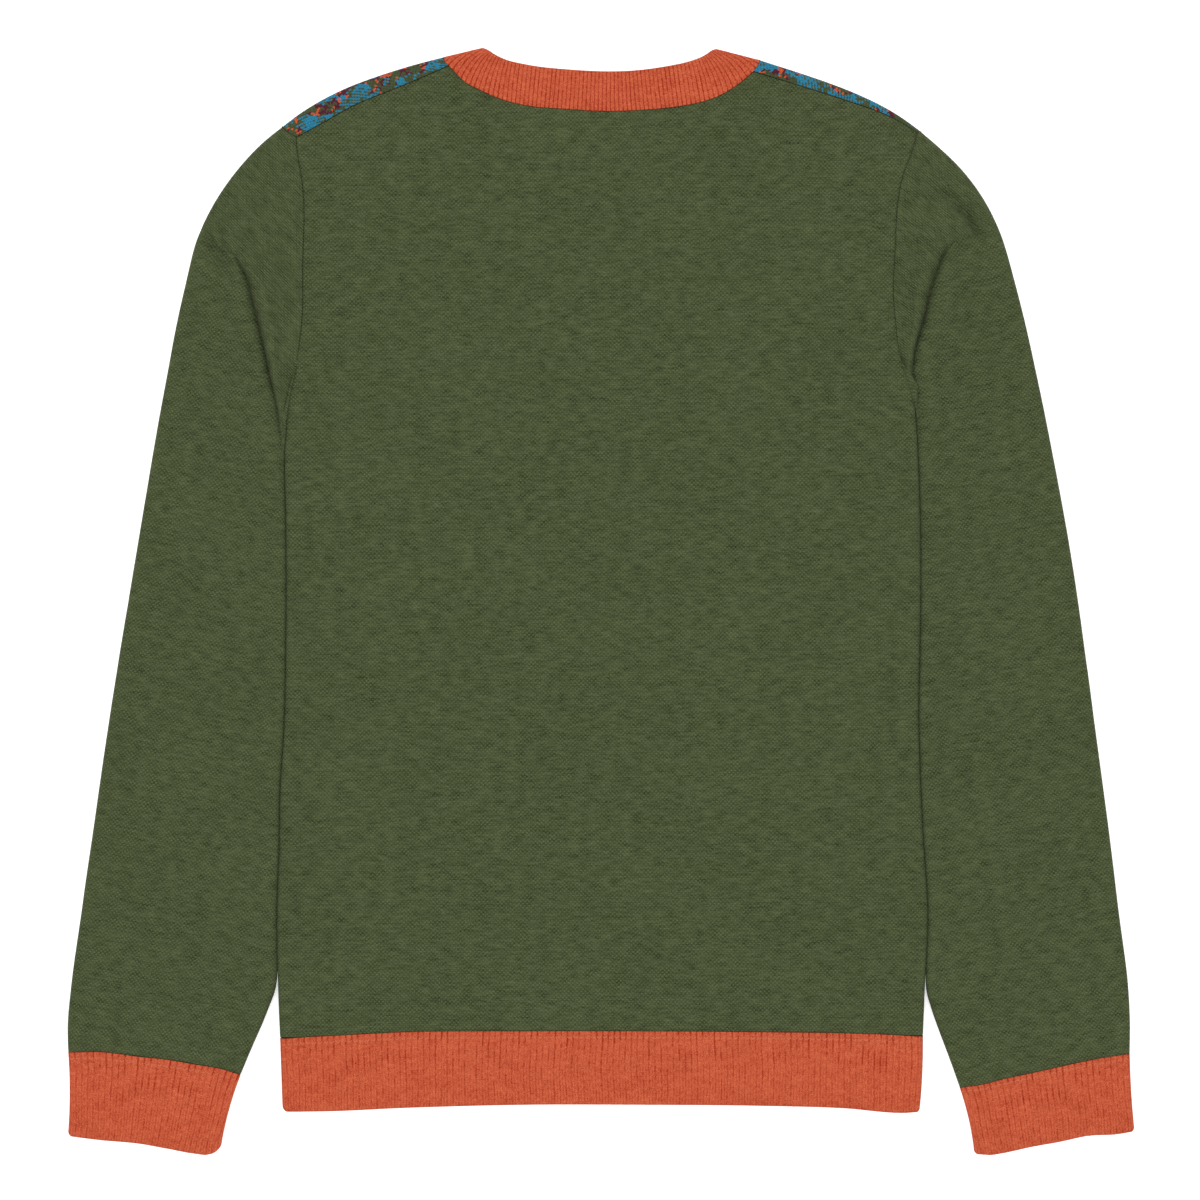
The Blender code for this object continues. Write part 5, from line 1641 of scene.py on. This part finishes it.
def patterned_material():
    """Jacquard in four yarns, stitch by stitch: blue patches in olive, rimmed with plum and orange, with
    painted shade in the stitches.
    """
    made, shader, grain = cloth_surface("patterned_knit", 0.95, (0.6, 0.65, 0.6))
    cell = (drifted(grain, 1.3) * (1 / STITCH, 1 / STITCH, 0.0)).maths("FLOOR") + (0.5, 0.5, 0.0)
    column, row = split(cell)
    parity = wave(column + row, 2.0)
    chance, other = chance_of(cell), chance_of(cell + (31.0, 7.0, 0.0))
    patch, small = blotches(cell, 17.0, 12.0, 1.5), blotches(cell, 4.5, 4.0)
    height = patch + weighted((small, 0.26, 0.5), (chance, 0.06, 0.5))
    rim = (height > 0.424) * (height < 0.498)
    mottle = weighted((blotches(cell, 15.0, 8.0), 4.4, 0.5), (parity, 0.3, 0.0), (chance, 0.8, 0.5)) > 0.12
    olive, blue = colour(0.068, 0.086, 0.036), colour(0.026, 0.222, 0.358)
    plum, orange = colour(0.098, 0.015, 0.032), colour(0.640, 0.100, 0.033)
    ground = mixed((height > 0.462) * (1.0 - mottle), olive, blue)
    speck = weighted((blotches(cell, 4.4, 3.2, 1.0), 3.4, 0.5), (other, 0.8, 0.5))
    cluster = noise(stretched(cell, 8.0, 6.0) + (4.0, 9.0, 0.0), 1.0)
    dotted = weighted((cluster, 3.2, 0.5), (other, 0.7, 0.5)) > -0.06
    painted = mixed(rim * dotted, ground, mixed(speck > 0.3, plum, orange))
    x, y = split(grain)
    stitches = wave(wave(x, 2 * STITCH).maths("ABSOLUTE") * 0.7 + y, STITCH) + wave(x, STITCH) * 0.7
    # Painted shade in the stitches' V lines and the birdseye pits, with the heather's real melange, scales the
    # pattern's colours.
    painted_shade_and_heather = weighted((stitches, 0.1, 0.0), (birdseye(x, y), 0.2, 0.0), (heather(grain), 0.65, 0.0)) + 0.93
    paint(shader, scaled(painted, painted_shade_and_heather.maths("MAXIMUM", 0.25)), stitches, 0.4)
    return made


def yarn_material(name, dark, light):
    """Plain yarn of the linking and the seams, with its twist."""
    made, tree, shader = surface(name, roughness=0.9, specular=MATT, sheen_weight=0.04)
    value = noise(wire(tree, "ShaderNodeTexCoord", out=3), 2.0, 0.6, 1800.0)
    paint(shader, mixed(value, colour(*dark), colour(*light)), value, 0.3, 0.0002)
    return made


def build_studio():
    """A pale floor lit a little from within, an even room light, two soft lamps, and the camera above."""
    mesh = bpy.data.meshes.new("floor")
    corners = [(x, y, FLOOR_TOP) for x, y in ((-6.0, -6.0), (6.0, -6.0), (6.0, 6.0), (-6.0, 6.0))]
    mesh.from_pydata(corners, [], [(0, 1, 2, 3)])
    pale = surface("pale_floor", base_color=(0.93, 0.93, 0.93, 1.0), roughness=0.9, specular=0.1,
                   emission_color=(1.0, 1.0, 1.0, 1.0), glow=0.35)
    mesh.materials.append(pale[0])
    floor = put_object("floor", mesh)
    for name, place, size, power in (
        ("lamp_above", (0.0, 0.3, 2.7), 1.8, 22.0),
        ("lamp_side", (-1.5, 1.4, 1.7), 1.2, 5.0),
    ):
        lamp = bpy.data.lights.new(name, "AREA")
        lamp.shape = "SQUARE"
        lamp.size = size
        lamp.energy = power
        made = put_object(name, lamp)
        made.location = place
        made.rotation_euler = (-Vector(place)).to_track_quat("-Z", "Y").to_euler()
    world = bpy.data.worlds.new("room")
    world.use_nodes = True
    light = world.node_tree.nodes["Background"].inputs
    light[0].default_value = (1.0, 1.0, 1.0, 1.0)
    light[1].default_value = 1.16
    scene = bpy.context.scene
    scene.world = world
    lens = bpy.data.cameras.new("camera")
    lens.lens, lens.sensor_width = 100.0, 36.0
    lens.clip_start, lens.clip_end = 0.05, 50.0
    scene.camera = put_object("camera", lens)
    scene.camera.location = (0.0, 0.00096, PHOTO_WIDTH * lens.lens / lens.sensor_width + 0.004)
    scene.view_settings.view_transform = "Standard"


def main():
    yarns = {
        "olive_yarn": ((0.045, 0.056, 0.024), (0.085, 0.105, 0.046)),
        "seam_yarn_painted_shade": ((0.014, 0.016, 0.008), (0.034, 0.04, 0.018)),
        # The seam yarn is a real yarn, but its near-black colour is painted shade: it darkens the seams' lines
        # as their shadow does.
        "slub_yarn": ((0.012, 0.010, 0.006), (0.05, 0.04, 0.02)),
        "terracotta_yarn": ((0.56, 0.12, 0.055), (0.84, 0.24, 0.12)),
    }
    olive, terracotta, patterned = olive_material(), terracotta_material(), patterned_material()
    yarn = {name: yarn_material(name, *colours) for name, colours in yarns.items()}
    ribs, cords, loops = rib_tree(), cord_tree(), loop_tree()
    pieces, columns, trims = {}, {}, {}

    # Cords are in the seam yarn unless told otherwise; its near-black colour is painted shade along the seams.
    def cord(label, cloth, kind="seam_yarn_painted_shade", closed=True):
        trims[f"{label}_cord"] = seam_cord(f"{label}_cord", cloth, cords, yarn[kind], closed)

    def stitches(label, rows, kind, *sizes):
        trims[label] = set_stitches(label, rows, loops, yarn[kind], *sizes)

    pieces["back_panel"], pieces["front_panel"] = build_body(olive, patterned)
    for side in SIDES:
        pieces[f"sleeve_{side}"], first, last = build_sleeve(side, olive)
        cuff = f"cuff_{side}"
        pieces[cuff], columns[cuff] = build_cuff(side, last, ribs, terracotta)
        cord(f"armhole_{side}", first, "seam_yarn_painted_shade" if side == "left" else "olive_yarn")
        cord(f"shoulder_{side}", [laid(p) for p in dense(SIDES[side]["shoulder_seam"])[::4]], closed=False)
    pieces["hem_band"], columns["hem_band"] = build_hem(ribs, terracotta)
    pieces["neck_band"], columns["neck_band"] = build_neckband(ribs, terracotta)
    for node, (seam, out, *_) in columns.items():
        cord(node, list(zip(seam, out))[::4])
    for node in ("hem_band", "cuff_left", "cuff_right"):
        stitches(f"{node}_linking", linking_rows(columns[node], LOOPS_BELOW), "terracotta_yarn", *LOOP)
    for side in SIDES:
        rows = seam_rows(ARMHOLE[side][12:], *ARMHOLE_STITCHES)
        rows += seam_rows(dense(SIDES[side]["shoulder_seam"]), *SHOULDER_STITCHES)
        stitches(f"seam_{side}_stitches", rows, "olive_yarn", *SEAM_STITCH)
    for node, places in SLUBS.items():
        rows = [(laid(np.array(p))[0] + 0.02 * UP, unit(np.array((math.cos(k), math.sin(k), 0.0))), UP)
                for k, p in enumerate(places)]
        stitches(f"{node}_slubs", rows, "slub_yarn", *KNOT)

    for node, piece in pieces.items():
        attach(piece, "root")
        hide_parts(node)
    for name, piece in trims.items():
        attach(piece, "root")

    for side in SIDES:
        cuff = f"cuff_{side}"
    build_studio()


main()
